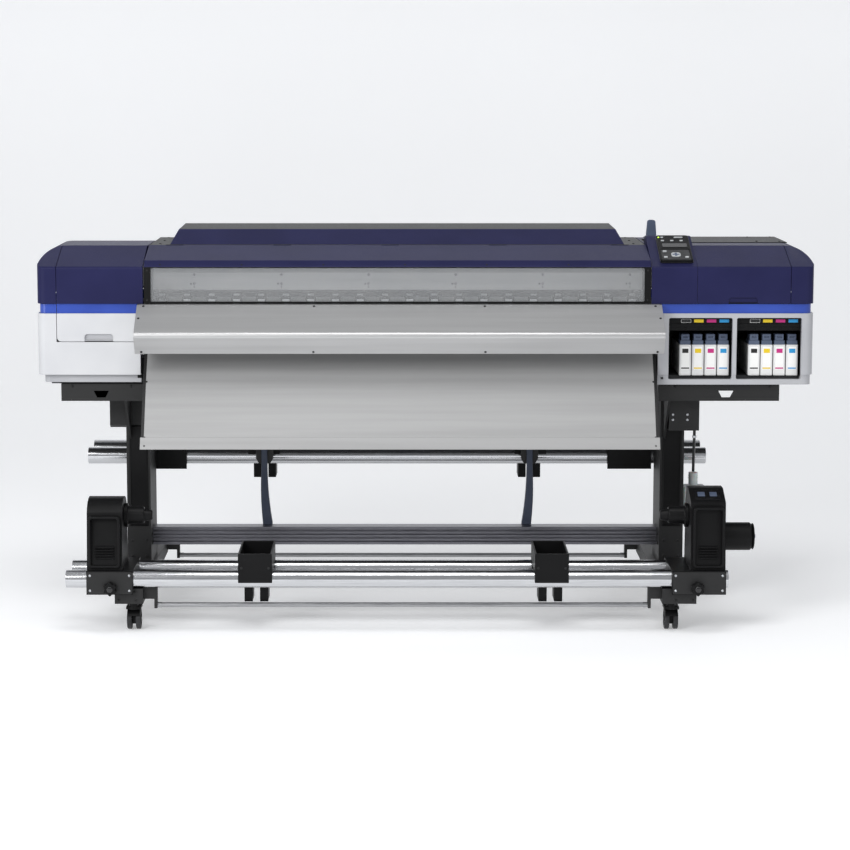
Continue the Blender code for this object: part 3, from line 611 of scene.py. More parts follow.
@dataclass(frozen=True)
class Finish(ABC):
    """One surface finish: what it is made of and how its face was made."""

    name: str
    colour: str
    shade: str
    roughness: Span

    def make(self) -> bpy.types.Material:
        """The finish's material, made the first time that it is asked for.

        Returns:
            The material.
        """
        known = bpy.data.materials.get(self.name)
        if known:
            return known
        surface = bpy.data.materials.new(self.name)
        surface.use_nodes = True
        surface.diffuse_color = linear(self.colour)
        tree = surface.node_tree
        place = add_node(tree, "ShaderNodeTexCoord").outputs["Object"]
        self.dress(Mix(tree, tree.nodes["Principled BSDF"], place))
        return surface

    @abstractmethod
    def dress(self, mix: Mix) -> None:
        """Adds the finish's pattern and sets the shader."""

    def tint(self, mix: Mix, pattern: Socket, span: Span = (0.35, 0.65)) -> None:
        """Mixes the colour and the shade by a pattern into the base colour.

        Args:
            mix: The material being made.
            pattern: The socket with the pattern, from nought to one.
            span: The part of the pattern that the mix is spread over.
        """
        ramp = add_node(mix.tree, "ShaderNodeValToRGB", links={"Fac": pattern})
        for element, stop, code in zip(ramp.color_ramp.elements, span, (self.shade, self.colour)):
            element.position = stop
            element.color = linear(code)
        mix.tree.links.new(ramp.outputs["Color"], mix.shader.inputs["Base Color"])

    def gloss(self, mix: Mix, pattern: Socket) -> None:
        """Varies the roughness by a pattern between the finish's two values.

        Args:
            mix: The material being made.
            pattern: The socket with the pattern, from nought to one.
        """
        spread = add_node(
            mix.tree, "ShaderNodeMapRange",
            values={
                "From Min": 0.3, "From Max": 0.7, "To Min": self.roughness[0], "To Max": self.roughness[1]
            },
            links={"Value": pattern},
        )
        mix.tree.links.new(spread.outputs["Result"], mix.shader.inputs["Roughness"])

    @staticmethod
    def relief(mix: Mix, pattern: Socket, strength: float, height: float) -> None:
        """Turns a pattern into bumps of a height in metres.

        Args:
            mix: The material being made.
            pattern: The socket with the pattern, from nought to one.
            strength: How strongly the bumps turn the light.
            height: The height of a bump in metres.
        """
        bump = add_node(
            mix.tree, "ShaderNodeBump", values={"Strength": strength, "Distance": height},
            links={"Height": pattern},
        )
        mix.tree.links.new(bump.outputs["Normal"], mix.shader.inputs["Normal"])


@dataclass(frozen=True)
class MouldedPlastic(Finish):
    """Injection-moulded ABS: the steel mould's spark-eroded grain breaks the shine into a soft sheen."""

    # In metres. The real grain of about 0.3 mm is drawn ten times as coarse, so that it shows.
    grain: float = 0.0030
    bite: float = 0.25
    coat: float = 0.0
    specular: float = 0.30

    def dress(self, mix: Mix) -> None:
        """Fine pitted grain, with a slow drift of colour where the melt flowed.

        Args:
            mix: The material being made.
        """
        flow = add_node(
            mix.tree, "ShaderNodeTexNoise", values={"Scale": 5.0, "Detail": 3.0}, links={"Vector": mix.place}
        )
        pits = add_node(
            mix.tree, "ShaderNodeTexNoise", values={"Scale": 1 / self.grain, "Detail": 2.0, "Roughness": 0.6},
            links={"Vector": mix.place},
        )
        self.tint(mix, flow.outputs["Fac"])
        self.gloss(mix, pits.outputs["Fac"])
        self.relief(mix, pits.outputs["Fac"], self.bite, 0.0004)
        mix.shader.inputs["Specular IOR Level"].default_value = self.specular
        mix.shader.inputs["Coat Weight"].default_value = self.coat
        mix.shader.inputs["Coat Roughness"].default_value = 0.08


@dataclass(frozen=True)
class PowderCoat(Finish):
    """Powder-coated steel: the baked powder levels into a shallow orange peel with matt specks."""

    peel: float = 0.0045  # metres; real peel of 1 to 2 mm, drawn a little coarser

    def dress(self, mix: Mix) -> None:
        """Orange peel, with small specks in the gloss.

        Args:
            mix: The material being made.
        """
        peel = add_node(
            mix.tree, "ShaderNodeTexNoise", values={"Scale": 1 / self.peel, "Detail": 1.0, "Roughness": 0.4},
            links={"Vector": mix.place},
        )
        specks = add_node(
            mix.tree, "ShaderNodeTexVoronoi", values={"Scale": 420.0}, links={"Vector": mix.place}
        )
        drift = add_node(
            mix.tree, "ShaderNodeTexNoise", values={"Scale": 3.0, "Detail": 4.0}, links={"Vector": mix.place}
        )
        both = add_node(
            mix.tree, "ShaderNodeMath", {"operation": "ADD", "use_clamp": True}, {},
            {0: peel.outputs["Fac"], 1: specks.outputs["Distance"]},
        )
        self.tint(mix, drift.outputs["Fac"])
        self.gloss(mix, both.outputs["Value"])
        self.relief(mix, peel.outputs["Fac"], 0.35, 0.0005)
        mix.shader.inputs["IOR"].default_value = 1.5


@dataclass(frozen=True)
class CoatedSheet(Finish):
    """Pre-coated steel sheet: flat satin paint with a trace of metal, and faint bands from the rolling."""

    metal: float = 0.0

    def dress(self, mix: Mix) -> None:
        """Fine flakes, and faint bands along the rolling direction.

        Args:
            mix: The material being made.
        """
        turn = add_node(
            mix.tree, "ShaderNodeMapping", values={"Scale": (0.4, 14.0, 14.0)}, links={"Vector": mix.place}
        )
        bands = add_node(
            mix.tree, "ShaderNodeTexNoise", values={"Scale": 3.0, "Detail": 3.0},
            links={"Vector": turn.outputs["Vector"]},
        )
        flakes = add_node(
            mix.tree, "ShaderNodeTexNoise", values={"Scale": 500.0, "Detail": 2.0, "Roughness": 0.7},
            links={"Vector": mix.place},
        )
        self.tint(mix, bands.outputs["Fac"])
        self.gloss(mix, flakes.outputs["Fac"])
        self.relief(mix, flakes.outputs["Fac"], 0.12, 0.0003)
        mix.shader.inputs["Metallic"].default_value = self.metal


@dataclass(frozen=True)
class DrawnMetal(Finish):
    """Metal pulled through a die or ground along its length, so that fine lines run with it."""

    line: float = 0.0012  # metres between lines; real lines of 0.1 mm are drawn coarser, so that they show
    bite: float = 0.15
    along: Axis = Axis.X

    def dress(self, mix: Mix) -> None:
        """Long streaks in the gloss and the relief.

        Args:
            mix: The material being made.
        """
        stretch = [0.012 if name == self.along else 1.0 for name in Axis]
        turn = add_node(mix.tree, "ShaderNodeMapping", values={"Scale": stretch}, links={"Vector": mix.place})
        lines = add_node(
            mix.tree, "ShaderNodeTexNoise", values={"Scale": 1 / self.line, "Detail": 3.0, "Roughness": 0.65},
            links={"Vector": turn.outputs["Vector"]},
        )
        self.tint(mix, lines.outputs["Fac"])
        self.gloss(mix, lines.outputs["Fac"])
        self.relief(mix, lines.outputs["Fac"], self.bite, 0.0002)
        mix.shader.inputs["Metallic"].default_value = 1.0


@dataclass(frozen=True)
class CastMetal(Finish):
    """Zinc-plated or blackened steel hardware: plating clouds a little, and tool marks dull it."""

    metal: float = 1.0

    def dress(self, mix: Mix) -> None:
        """Cloudy plating at a few millimetres.

        Args:
            mix: The material being made.
        """
        clouds = add_node(
            mix.tree, "ShaderNodeTexNoise", values={"Scale": 260.0, "Detail": 3.0},
            links={"Vector": mix.place},
        )
        self.tint(mix, clouds.outputs["Fac"])
        self.gloss(mix, clouds.outputs["Fac"])
        self.relief(mix, clouds.outputs["Fac"], 0.1, 0.0002)
        mix.shader.inputs["Metallic"].default_value = self.metal


@dataclass(frozen=True)
class SoftRubber(Finish):
    """Moulded rubber or thermoplastic elastomer: matt, with a dusty bloom."""

    sheen: float = 0.1

    def dress(self, mix: Mix) -> None:
        """Bloom in broad patches over a fine matt grain.

        Args:
            mix: The material being made.
        """
        bloom = add_node(
            mix.tree, "ShaderNodeTexNoise", values={"Scale": 60.0, "Detail": 5.0}, links={"Vector": mix.place}
        )
        grain = add_node(
            mix.tree, "ShaderNodeTexNoise", values={"Scale": 700.0, "Detail": 2.0},
            links={"Vector": mix.place},
        )
        self.tint(mix, bloom.outputs["Fac"])
        self.gloss(mix, bloom.outputs["Fac"])
        self.relief(mix, grain.outputs["Fac"], 0.3, 0.0003)
        mix.shader.inputs["Sheen Weight"].default_value = self.sheen


@dataclass(frozen=True)
class ClearSheet(Finish):
    """Extruded acrylic: clear, with a faint grey body and a hard polish."""

    alpha: float = 0.14

    def dress(self, mix: Mix) -> None:
        """Barely rippled polish, with faint wiping marks.

        Args:
            mix: The material being made.
        """
        marks = add_node(
            mix.tree, "ShaderNodeTexNoise", values={"Scale": 9.0, "Detail": 5.0, "Distortion": 1.2},
            links={"Vector": mix.place},
        )
        self.tint(mix, marks.outputs["Fac"])
        self.gloss(mix, marks.outputs["Fac"])
        mix.shader.inputs["Alpha"].default_value = self.alpha
        mix.shader.inputs["IOR"].default_value = 1.49
        mix.shader.inputs["Coat Weight"].default_value = 0.6


@dataclass(frozen=True)
class MilkyPlastic(Finish):
    """Blow-moulded polythene: waxy, light soaks in, and the wall's thickness drifts."""

    def dress(self, mix: Mix) -> None:
        """Cloudy wall with a soft waxy skin.

        Args:
            mix: The material being made.
        """
        wall = add_node(
            mix.tree, "ShaderNodeTexNoise", values={"Scale": 26.0, "Detail": 3.0}, links={"Vector": mix.place}
        )
        self.tint(mix, wall.outputs["Fac"])
        self.gloss(mix, wall.outputs["Fac"])
        self.relief(mix, wall.outputs["Fac"], 0.2, 0.001)
        mix.shader.inputs["Subsurface Weight"].default_value = 0.3
        mix.shader.inputs["Subsurface Scale"].default_value = 0.02


@dataclass(frozen=True)
class InkedCard(Finish):
    """Printed card or film: matt stock with the press's fine dots in the ink."""

    def dress(self, mix: Mix) -> None:
        """Fine dots, far coarser than a press's 0.1 mm, so that they show.

        Args:
            mix: The material being made.
        """
        dots = add_node(
            mix.tree, "ShaderNodeTexVoronoi", values={"Scale": 900.0}, links={"Vector": mix.place}
        )
        self.tint(mix, dots.outputs["Distance"], (0.1, 0.6))
        self.gloss(mix, dots.outputs["Distance"])


@dataclass(frozen=True)
class LitLens(Finish):
    """A small lamp's moulded lens: it glows from within and shines on its dome."""

    power: float = 1.5

    def dress(self, mix: Mix) -> None:
        """Glow with a slightly uneven diffuser.

        Args:
            mix: The material being made.
        """
        diffuser = add_node(
            mix.tree, "ShaderNodeTexNoise", values={"Scale": 500.0}, links={"Vector": mix.place}
        )
        self.tint(mix, diffuser.outputs["Fac"])
        self.gloss(mix, diffuser.outputs["Fac"])
        mix.shader.inputs["Emission Color"].default_value = linear(self.colour)
        mix.shader.inputs["Emission Strength"].default_value = self.power


@dataclass(frozen=True)
class DisplayGlass(Finish):
    """A liquid-crystal display: segments' faint rows lie under a glossy polariser."""

    def dress(self, mix: Mix) -> None:
        """Faint rows of cells under gloss.

        Args:
            mix: The material being made.
        """
        rows = add_node(
            mix.tree, "ShaderNodeTexWave", {"wave_type": "BANDS", "bands_direction": "X"},
            {"Scale": 220.0, "Distortion": 0.0}, {"Vector": mix.place},
        )
        self.tint(mix, rows.outputs["Fac"], (0.0, 1.0))
        mix.shader.inputs["Roughness"].default_value = self.roughness[0]
        mix.shader.inputs["Coat Weight"].default_value = 1.0
        mix.shader.inputs["Coat Roughness"].default_value = 0.04


@dataclass(frozen=True)
class StudioPaint(Finish):
    """Matt studio paint: rolled on by hand, so its tone drifts, and lit from below as a light table is."""

    glow: float = 0.26

    def dress(self, mix: Mix) -> None:
        """Broad, faint patches.

        Args:
            mix: The material being made.
        """
        patches = add_node(
            mix.tree, "ShaderNodeTexNoise", values={"Scale": 0.4, "Detail": 2.0}, links={"Vector": mix.place}
        )
        self.tint(mix, patches.outputs["Fac"])
        self.gloss(mix, patches.outputs["Fac"])
        mix.shader.inputs["Emission Color"].default_value = linear("#FFFFFF")
        mix.shader.inputs["Emission Strength"].default_value = self.glow


NAVY = MouldedPlastic("moulded_abs_navy", "#25264B", "#212245", (0.34, 0.46), specular=0.10)
BAND_BLUE = MouldedPlastic("gloss_abs_blue", "#3450AE", "#2C469F", (0.16, 0.24), bite=0.06, coat=0.6)
WHITE = MouldedPlastic("moulded_abs_white", "#C9CACC", "#C2C3C6", (0.38, 0.50))
SILVER = MouldedPlastic("painted_abs_silver", "#B3B4B7", "#AAABAF", (0.34, 0.46))
BLACK_ABS = MouldedPlastic("moulded_abs_black", "#121213", "#0D0D0E", (0.36, 0.52), specular=0.16)
GLOSS_BLACK = MouldedPlastic("gloss_abs_black", "#121214", "#0E0E10", (0.10, 0.18), bite=0.03, coat=0.8)
SLATE = MouldedPlastic("moulded_abs_slate", "#566176", "#4C566A", (0.36, 0.48))
STRUT = MouldedPlastic("moulded_nylon_slate", "#434B5C", "#394050", (0.40, 0.55))
KEY_GREY = SoftRubber("silicone_key_grey", "#BFC2C4", "#B4B7BA", (0.45, 0.55))
CARTRIDGE_WHITE = MouldedPlastic("moulded_pp_white", "#E3E3E2", "#DADADA", (0.34, 0.46))
BLACK_STEEL = PowderCoat("powder_coated_steel_black", "#121213", "#0D0D0E", (0.34, 0.55))
INNER_STEEL = PowderCoat("powder_coated_steel_charcoal", "#2A2B2E", "#222326", (0.40, 0.60))
HOOD_SHEET = CoatedSheet("satin_coated_sheet", "#C2C2C2", "#BABABA", (0.36, 0.44), metal=0.75)
# Painted shade, in part: the guide's own grey is darkened for the shade that it sits in under the hood's
# overhang.
SHADED_GUIDE_SHEET = CoatedSheet("satin_coated_guide_painted_shade", "#A2A2A2", "#9B9B9B", (0.40, 0.52), metal=0.10)
PANEL_SHEET = CoatedSheet("satin_coated_panel", "#BFC0C1", "#B6B7B8", (0.42, 0.54), metal=0.05)
PIPE = DrawnMetal("polished_steel_pipe", "#D9DADC", "#C2C3C6", (0.10, 0.22))
EXTRUSION = DrawnMetal("anodised_extrusion_dark", "#8C8C92", "#707077", (0.28, 0.40))
PLATEN = DrawnMetal("anodised_platen", "#A9AAAD", "#98999C", (0.32, 0.45))
ROLLER = DrawnMetal("ground_roller_steel", "#B5B6B8", "#8F9092", (0.28, 0.40))
ZINC = CastMetal("zinc_plated_steel", "#C9CBCE", "#A9ACB0", (0.22, 0.38))
BLACK_OXIDE = CastMetal("black_oxide_steel", "#141415", "#0D0D0E", (0.45, 0.6), metal=0.1)
TREAD = SoftRubber("caster_tread_rubber", "#19191B", "#232326", (0.60, 0.80))
TUBE = SoftRubber("tube_rubber_black", "#151517", "#1D1D20", (0.40, 0.55))
ACRYLIC = ClearSheet("clear_acrylic", "#F0F2F4", "#E8EBEE", (0.03, 0.07))
MILKY = MilkyPlastic("milky_polythene", "#D4D7D6", "#C6CAC9", (0.30, 0.42))
LAMP = LitLens("lamp_lens_green", "#B6E04A", "#9CCB35", (0.15, 0.25))
DISPLAY = DisplayGlass("display_cells", "#4C5866", "#39434F", (0.22, 0.28))
PAPER = InkedCard("card_white", "#F1F1EF", "#E6E6E3", (0.50, 0.65))
STUDIO_PAINT = StudioPaint("matt_studio_paint", "#EDEEF0", "#EAEBED", (0.70, 0.85))
INK_FILMS = {
    "black": InkedCard("film_black", "#1A1A1A", "#101010", (0.35, 0.5)),
    "yellow": InkedCard("film_yellow", "#E8C81E", "#D8B813", (0.35, 0.5)),
    "magenta": InkedCard("film_magenta", "#C2257C", "#B01C6E", (0.35, 0.5)),
    "cyan": InkedCard("film_cyan", "#2494CF", "#1B85BE", (0.35, 0.5)),
}


# ---- Sub-assemblies ------------------------------------------------------------------------------
class SubAssembly(ABC):
    """A group of pieces that is built and dressed together."""

    @abstractmethod
    def build(self) -> None:
        """Builds and dresses every piece of the group."""

    def fit(self, obj: Piece, name: str, finish: Finish, body: str, slot: Slot, *nodes: str) -> Piece:
        """Finishes a piece and hands it to the frame.

        Args:
            obj: The piece, with its place in its mesh.
            name: Its name.
            finish: Its surface finish.
            body: The CAD body that it moves with.
            slot: The record's material slot that the finish comes from.
            *nodes: CAD nodes that it stands for.

        Returns:
            The piece.
        """
        obj.name = name
        obj.data.name = name
        obj.data.materials.clear()
        obj.data.materials.append(finish.make())
        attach(obj, body)
        if nodes:
            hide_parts(*nodes)
        LOG.info("%s: %s on %s, %d faces", name, finish.name, body, len(obj.data.polygons))
        return obj


@dataclass
class Screws:
    """Cross-recessed pan-head screws, modelled once and copied to their places."""

    radius: float = 0.0042
    height: float = 0.0022
    sides: int = 12

    def master(self) -> Piece:
        """One screw head on the XY plane at the origin, pointing up.

        Returns:
            The screw head.
        """
        profile = [(-0.001, 0.0), (-0.001, self.radius), (self.height * 0.45, self.radius)]
        profile += [
            (self.height * 0.9, self.radius * 0.72), (self.height, self.radius * 0.4), (self.height, 0.0)
        ]
        head = Bench.lathe(Axis.Z, profile, (0.0, 0.0, 0.0), self.sides)
        arm, deep = self.radius * 0.62, self.height * 0.45
        for size in ((arm, arm * 0.28), (arm * 0.28, arm)):
            tool = Bench.slab((-size[0], -size[1], deep), (size[0], size[1], self.height * 2))
            Bench.cut(head, tool)
        return Bench.soften(head, 0.0)

    def scatter(self, places: Sequence[tuple[Point, Point]]) -> Piece:
        """Copies the screw to each place and joins the copies.

        Args:
            places: Where each head sits, and the way it points.

        Returns:
            All the heads as one piece.
        """
        head = self.master()
        heads = []
        for index, (spot, normal) in enumerate(places):
            turn = Vector(normal).to_track_quat("Z", "Y").to_matrix().to_4x4()
            own = Matrix.Rotation(0.7 * index, 4, "Z")
            heads.append(Bench.place(Bench.copy(head), Matrix.Translation(spot) @ turn @ own))
        bpy.data.objects.remove(head, do_unlink=True)
        return Bench.join(heads)


FRONT: Point = (0.0, -1.0, 0.0)
BACK: Point = (0.0, 1.0, 0.0)
UP: Point = (0.0, 0.0, 1.0)
LEFT: Point = (-1.0, 0.0, 0.0)
RIGHT: Point = (1.0, 0.0, 0.0)


@dataclass
class HeadForm:
    """The head's outer shape, which every cover of it is cut from."""

    half: float = 1.310
    front: float = -0.240
    rear: float = 0.400
    top: float = 1.262
    crease: float = 1.201
    slope_rear: float = -0.055
    upper: float = 1.078
    band: float = 1.045
    lower: float = 0.837
    plinth: float = 0.810
    band_inset: float = 0.007
    plinth_inset: float = 0.020
    arc_width: float = 0.074
    arc_height: float = 0.061
    corner: float = 0.030
    wall: float = 0.004
    bay_left: float = -0.948
    bay_right: float = 0.759

    def profile(self, inset: float, bottom: float) -> list[Flat]:
        """Front, slope, top and back, as Y and Z, with a soft crease.

        Args:
            inset: How far the outline moves inwards, in metres.
            bottom: The height of the lower edge.

        Returns:
            The outline, as corners of Y and Z.
        """
        drop = inset * 1.05
        corners = [
            (self.front + inset, bottom), (self.front + inset, self.crease - inset * 0.6, 0.010),
            (self.slope_rear, self.top - drop, 0.030), (self.rear - inset, self.top - drop, 0.014),
            (self.rear - inset, bottom),
        ]
        return rounded(corners, 6)

    def plan(self, side: int, near: float, inset: float = 0.0) -> list[Flat]:
        """One end seen from above, its outer corners rounded.

        Args:
            side: Minus one for the left end, one for the right.
            near: The cut towards the machine's middle, as an X.
            inset: How far the outline moves inwards, in metres.

        Returns:
            The outline, as corners of X and Y.
        """
        radius = self.corner - inset * 0.5
        outer = side * (self.half - inset)
        corners = [
            (near, self.front + inset), (outer, self.front + inset, radius),
            (outer, self.rear - inset, radius), (near, self.rear - inset),
        ]
        return rounded(corners, 8)

    def elevation(self, side: int, near: float, inset: float, bottom: float) -> list[Flat]:
        """One end seen from the front, curved over at the top.

        Args:
            side: Minus one for the left end, one for the right.
            near: The cut towards the machine's middle, as an X.
            inset: How far the outline moves inwards, in metres.
            bottom: The height of the lower edge.

        Returns:
            The outline, as corners of X and Z.
        """
        middle = side * (self.half - self.arc_width)
        radii = (side * (self.arc_width - inset), self.arc_height - inset)
        curve = arc((middle, self.crease), radii, 0, 90, 16)
        return [(near, bottom), (side * (self.half - inset), bottom), *curve, (near, self.top - inset)]

    def end(self, side: int, near: float, inset: float = 0.0, bottom: float | None = None) -> Piece:
        """One end of the head as a solid.

        Args:
            side: -1 for the left end, 1 for the right.
            near: X of its inner side.
            inset: Distance inside the outer surface.
            bottom: Z of its lower side.

        Returns:
            The solid form.
        """
        floor = self.upper if bottom is None else bottom
        form = Bench.prism(
            Axis.X, tuple(sorted((near, side * (self.half + 0.1)))), self.profile(inset, floor)
        )
        outline = self.elevation(side, near - side * 0.1, inset, floor - 0.1)
        Bench.common(form, Bench.prism(Axis.Y, (-0.5, 0.5), outline))
        plan = self.plan(side, near - side * 0.1, inset)
        return Bench.common(form, Bench.prism(Axis.Z, (floor - 0.2, 1.5), plan))


FORM = HeadForm()


@dataclass
class LeftHead(SubAssembly):
    """Left end of the head: upper cover, coloured band, pale lower cover and the lift-up door in them."""

    door: Span = (-1.243, -0.952)
    near: float = -0.962
    door_foot: float = 0.950
    gap: float = 0.0015
    recess: Span = (-1.150, -1.054)
    fall_start: float = 0.205

    def build(self) -> None:
        """Builds the fixed covers, then the door."""
        self.upper_cover()
        self.band_and_lower()
        self.door_skin()
        self.details()

    def opening(self, low: float) -> Piece:
        """Cutter for the door's opening."""
        return Bench.slab((self.door[0] - self.gap, -0.30, low), (-0.90, FORM.slope_rear + 0.0005, 1.40))

    def fall_away(self, form: Piece, drop: float) -> Piece:
        """Slopes the top down towards the rear."""
        return Bench.slice_off(form, (0.0, self.fall_start, FORM.top - drop), (0.0, 0.12, 1.0))

    def upper_cover(self) -> None:
        """The upper cover with its curved end."""
        shell = self.fall_away(FORM.end(-1, FORM.bay_left - 0.002), 0.0)
        inside = self.fall_away(FORM.end(-1, FORM.bay_left + 0.05, FORM.wall, FORM.upper - 0.05), FORM.wall)
        Bench.cut(shell, inside, self.opening(1.0))
        Bench.soften(shell, 0.0012)
        self.fit(shell, "left_upper_cover", NAVY, "machine", Slot.NAVY, "left_upper_shell")

    def ring(self, low: float, high: float, inset: float, near: float) -> Piece:
        """A wall that follows the end's plan, open towards the machine's middle.

        Args:
            low: The height of the lower edge.
            high: The height of the upper edge.
            inset: How far the outline moves inwards, in metres.
            near: The cut towards the machine's middle, as an X.

        Returns:
            The wall.
        """
        wall = Bench.prism(Axis.Z, (low, high), FORM.plan(-1, near, inset))
        inner = Bench.prism(Axis.Z, (low - 0.01, high + 0.01), FORM.plan(-1, near + 0.05, inset + FORM.wall))
        return Bench.cut(wall, inner)

    def band_and_lower(self) -> None:
        """The band, the lower cover and the plinth around the end."""
        band = self.ring(FORM.band - 0.002, FORM.upper - 0.0012, FORM.band_inset, self.near)
        Bench.cut(band, self.opening(self.door_foot - self.gap))
        Bench.soften(band, 0.0008)
        self.fit(band, "left_band", BAND_BLUE, "machine", Slot.NAVY)
        lower = self.ring(FORM.lower, FORM.band, 0.0, self.near)
        Bench.cut(lower, self.opening(self.door_foot - self.gap))
        Bench.soften(lower, 0.0016, 3)
        self.fit(lower, "left_lower_cover", WHITE, "machine", Slot.WHITE, "left_lower_shell")
        plinth = self.ring(FORM.plinth, FORM.lower + 0.002, FORM.plinth_inset, self.near)
        Bench.soften(plinth, 0.0012)
        self.fit(plinth, "left_plinth", SILVER, "machine", Slot.WHITE)

    def door_skin(self) -> None:
        """The door: navy above, band in the middle, pale below with its hand recess."""
        low, high = self.door
        inner = -0.229
        slope = FORM.slope_rear - self.gap
        upper = rounded(
            [
                (FORM.front, FORM.upper), (FORM.front, FORM.crease, 0.010), (slope, FORM.top - 0.0005),
                (slope, FORM.top - 0.0045), (inner, FORM.crease - 0.0015, 0.006), (inner, FORM.upper),
            ],
            6,
        )
        skin = Bench.soften(Bench.prism(Axis.X, (low, high), upper), 0.0012)
        self.fit(skin, "left_door_upper", NAVY, "left_cover", Slot.NAVY, "left_maintenance_cover")
        band_high = -0.972
        band = Bench.slab(
            (low, FORM.front + FORM.band_inset, FORM.band - 0.001), (band_high, inner, FORM.upper - 0.0004),
            0.0007, 2,
        )
        self.fit(Bench.soften(band, 0.0), "left_door_band", BAND_BLUE, "left_cover", Slot.NAVY)
        outline = rounded(
            [
                (low, self.door_foot, 0.014), (self.recess[0], self.door_foot),
                (self.recess[0], 0.975, 0.010), (self.recess[1], 0.975, 0.010),
                (self.recess[1], self.door_foot), (band_high, self.door_foot, 0.004), (band_high, FORM.band),
                (low, FORM.band),
            ],
            6,
        )
        lower = Bench.soften(Bench.prism(Axis.Y, (FORM.front, inner), outline), 0.0014)
        self.fit(lower, "left_door_lower", WHITE, "left_cover", Slot.WHITE)
        cup_low, cup_high = self.recess[0] - 0.002, self.recess[1] + 0.002
        cup = Bench.slab((cup_low, -0.2365, self.door_foot + 0.002), (cup_high, -0.2275, 0.978), 0.001, 2)
        Bench.press(cup, lambda n, c: n.y < -0.9 and c.y < -0.236, 0.004, -0.0045)
        self.fit(Bench.soften(cup, 0.0), "left_door_grip", SILVER, "left_cover", Slot.WHITE)

    def details(self) -> None:
        """Latch in the plinth, ribs of the louvre on the end, and the fixing screws."""
        latch = Bench.slab((-0.975, -0.2222, 0.824), (-0.957, -0.2120, 0.836), 0.0014, 2)
        Bench.press(latch, lambda n, c: n.y < -0.9, 0.003, -0.0015)
        self.fit(Bench.soften(latch, 0.0), "left_plinth_latch", BLACK_ABS, "machine", Slot.MOULDING)
        slats = []
        slat = Bench.slab((-1.3112, 0.060, 0.900), (-1.3085, 0.240, 0.906), 0.0008, 2)
        for step in range(7):
            slats.append(Bench.copy(slat, (0.0, 0.0, 0.013 * step)))
        bpy.data.objects.remove(slat, do_unlink=True)
        self.fit(Bench.soften(Bench.join(slats), 0.0), "left_end_louvre", SILVER, "machine", Slot.WHITE)
        places = [((-1.310, y, z), LEFT) for y in (-0.16, 0.32) for z in (0.875, 1.015)]
        places += [((x, 0.400, z), BACK) for x in (-1.24, -1.10, -0.98) for z in (0.87, 1.02, 1.11, 1.23)]
        self.fit(Screws().scatter(places), "left_head_screws", BLACK_OXIDE, "machine", Slot.BLACK_STEEL)


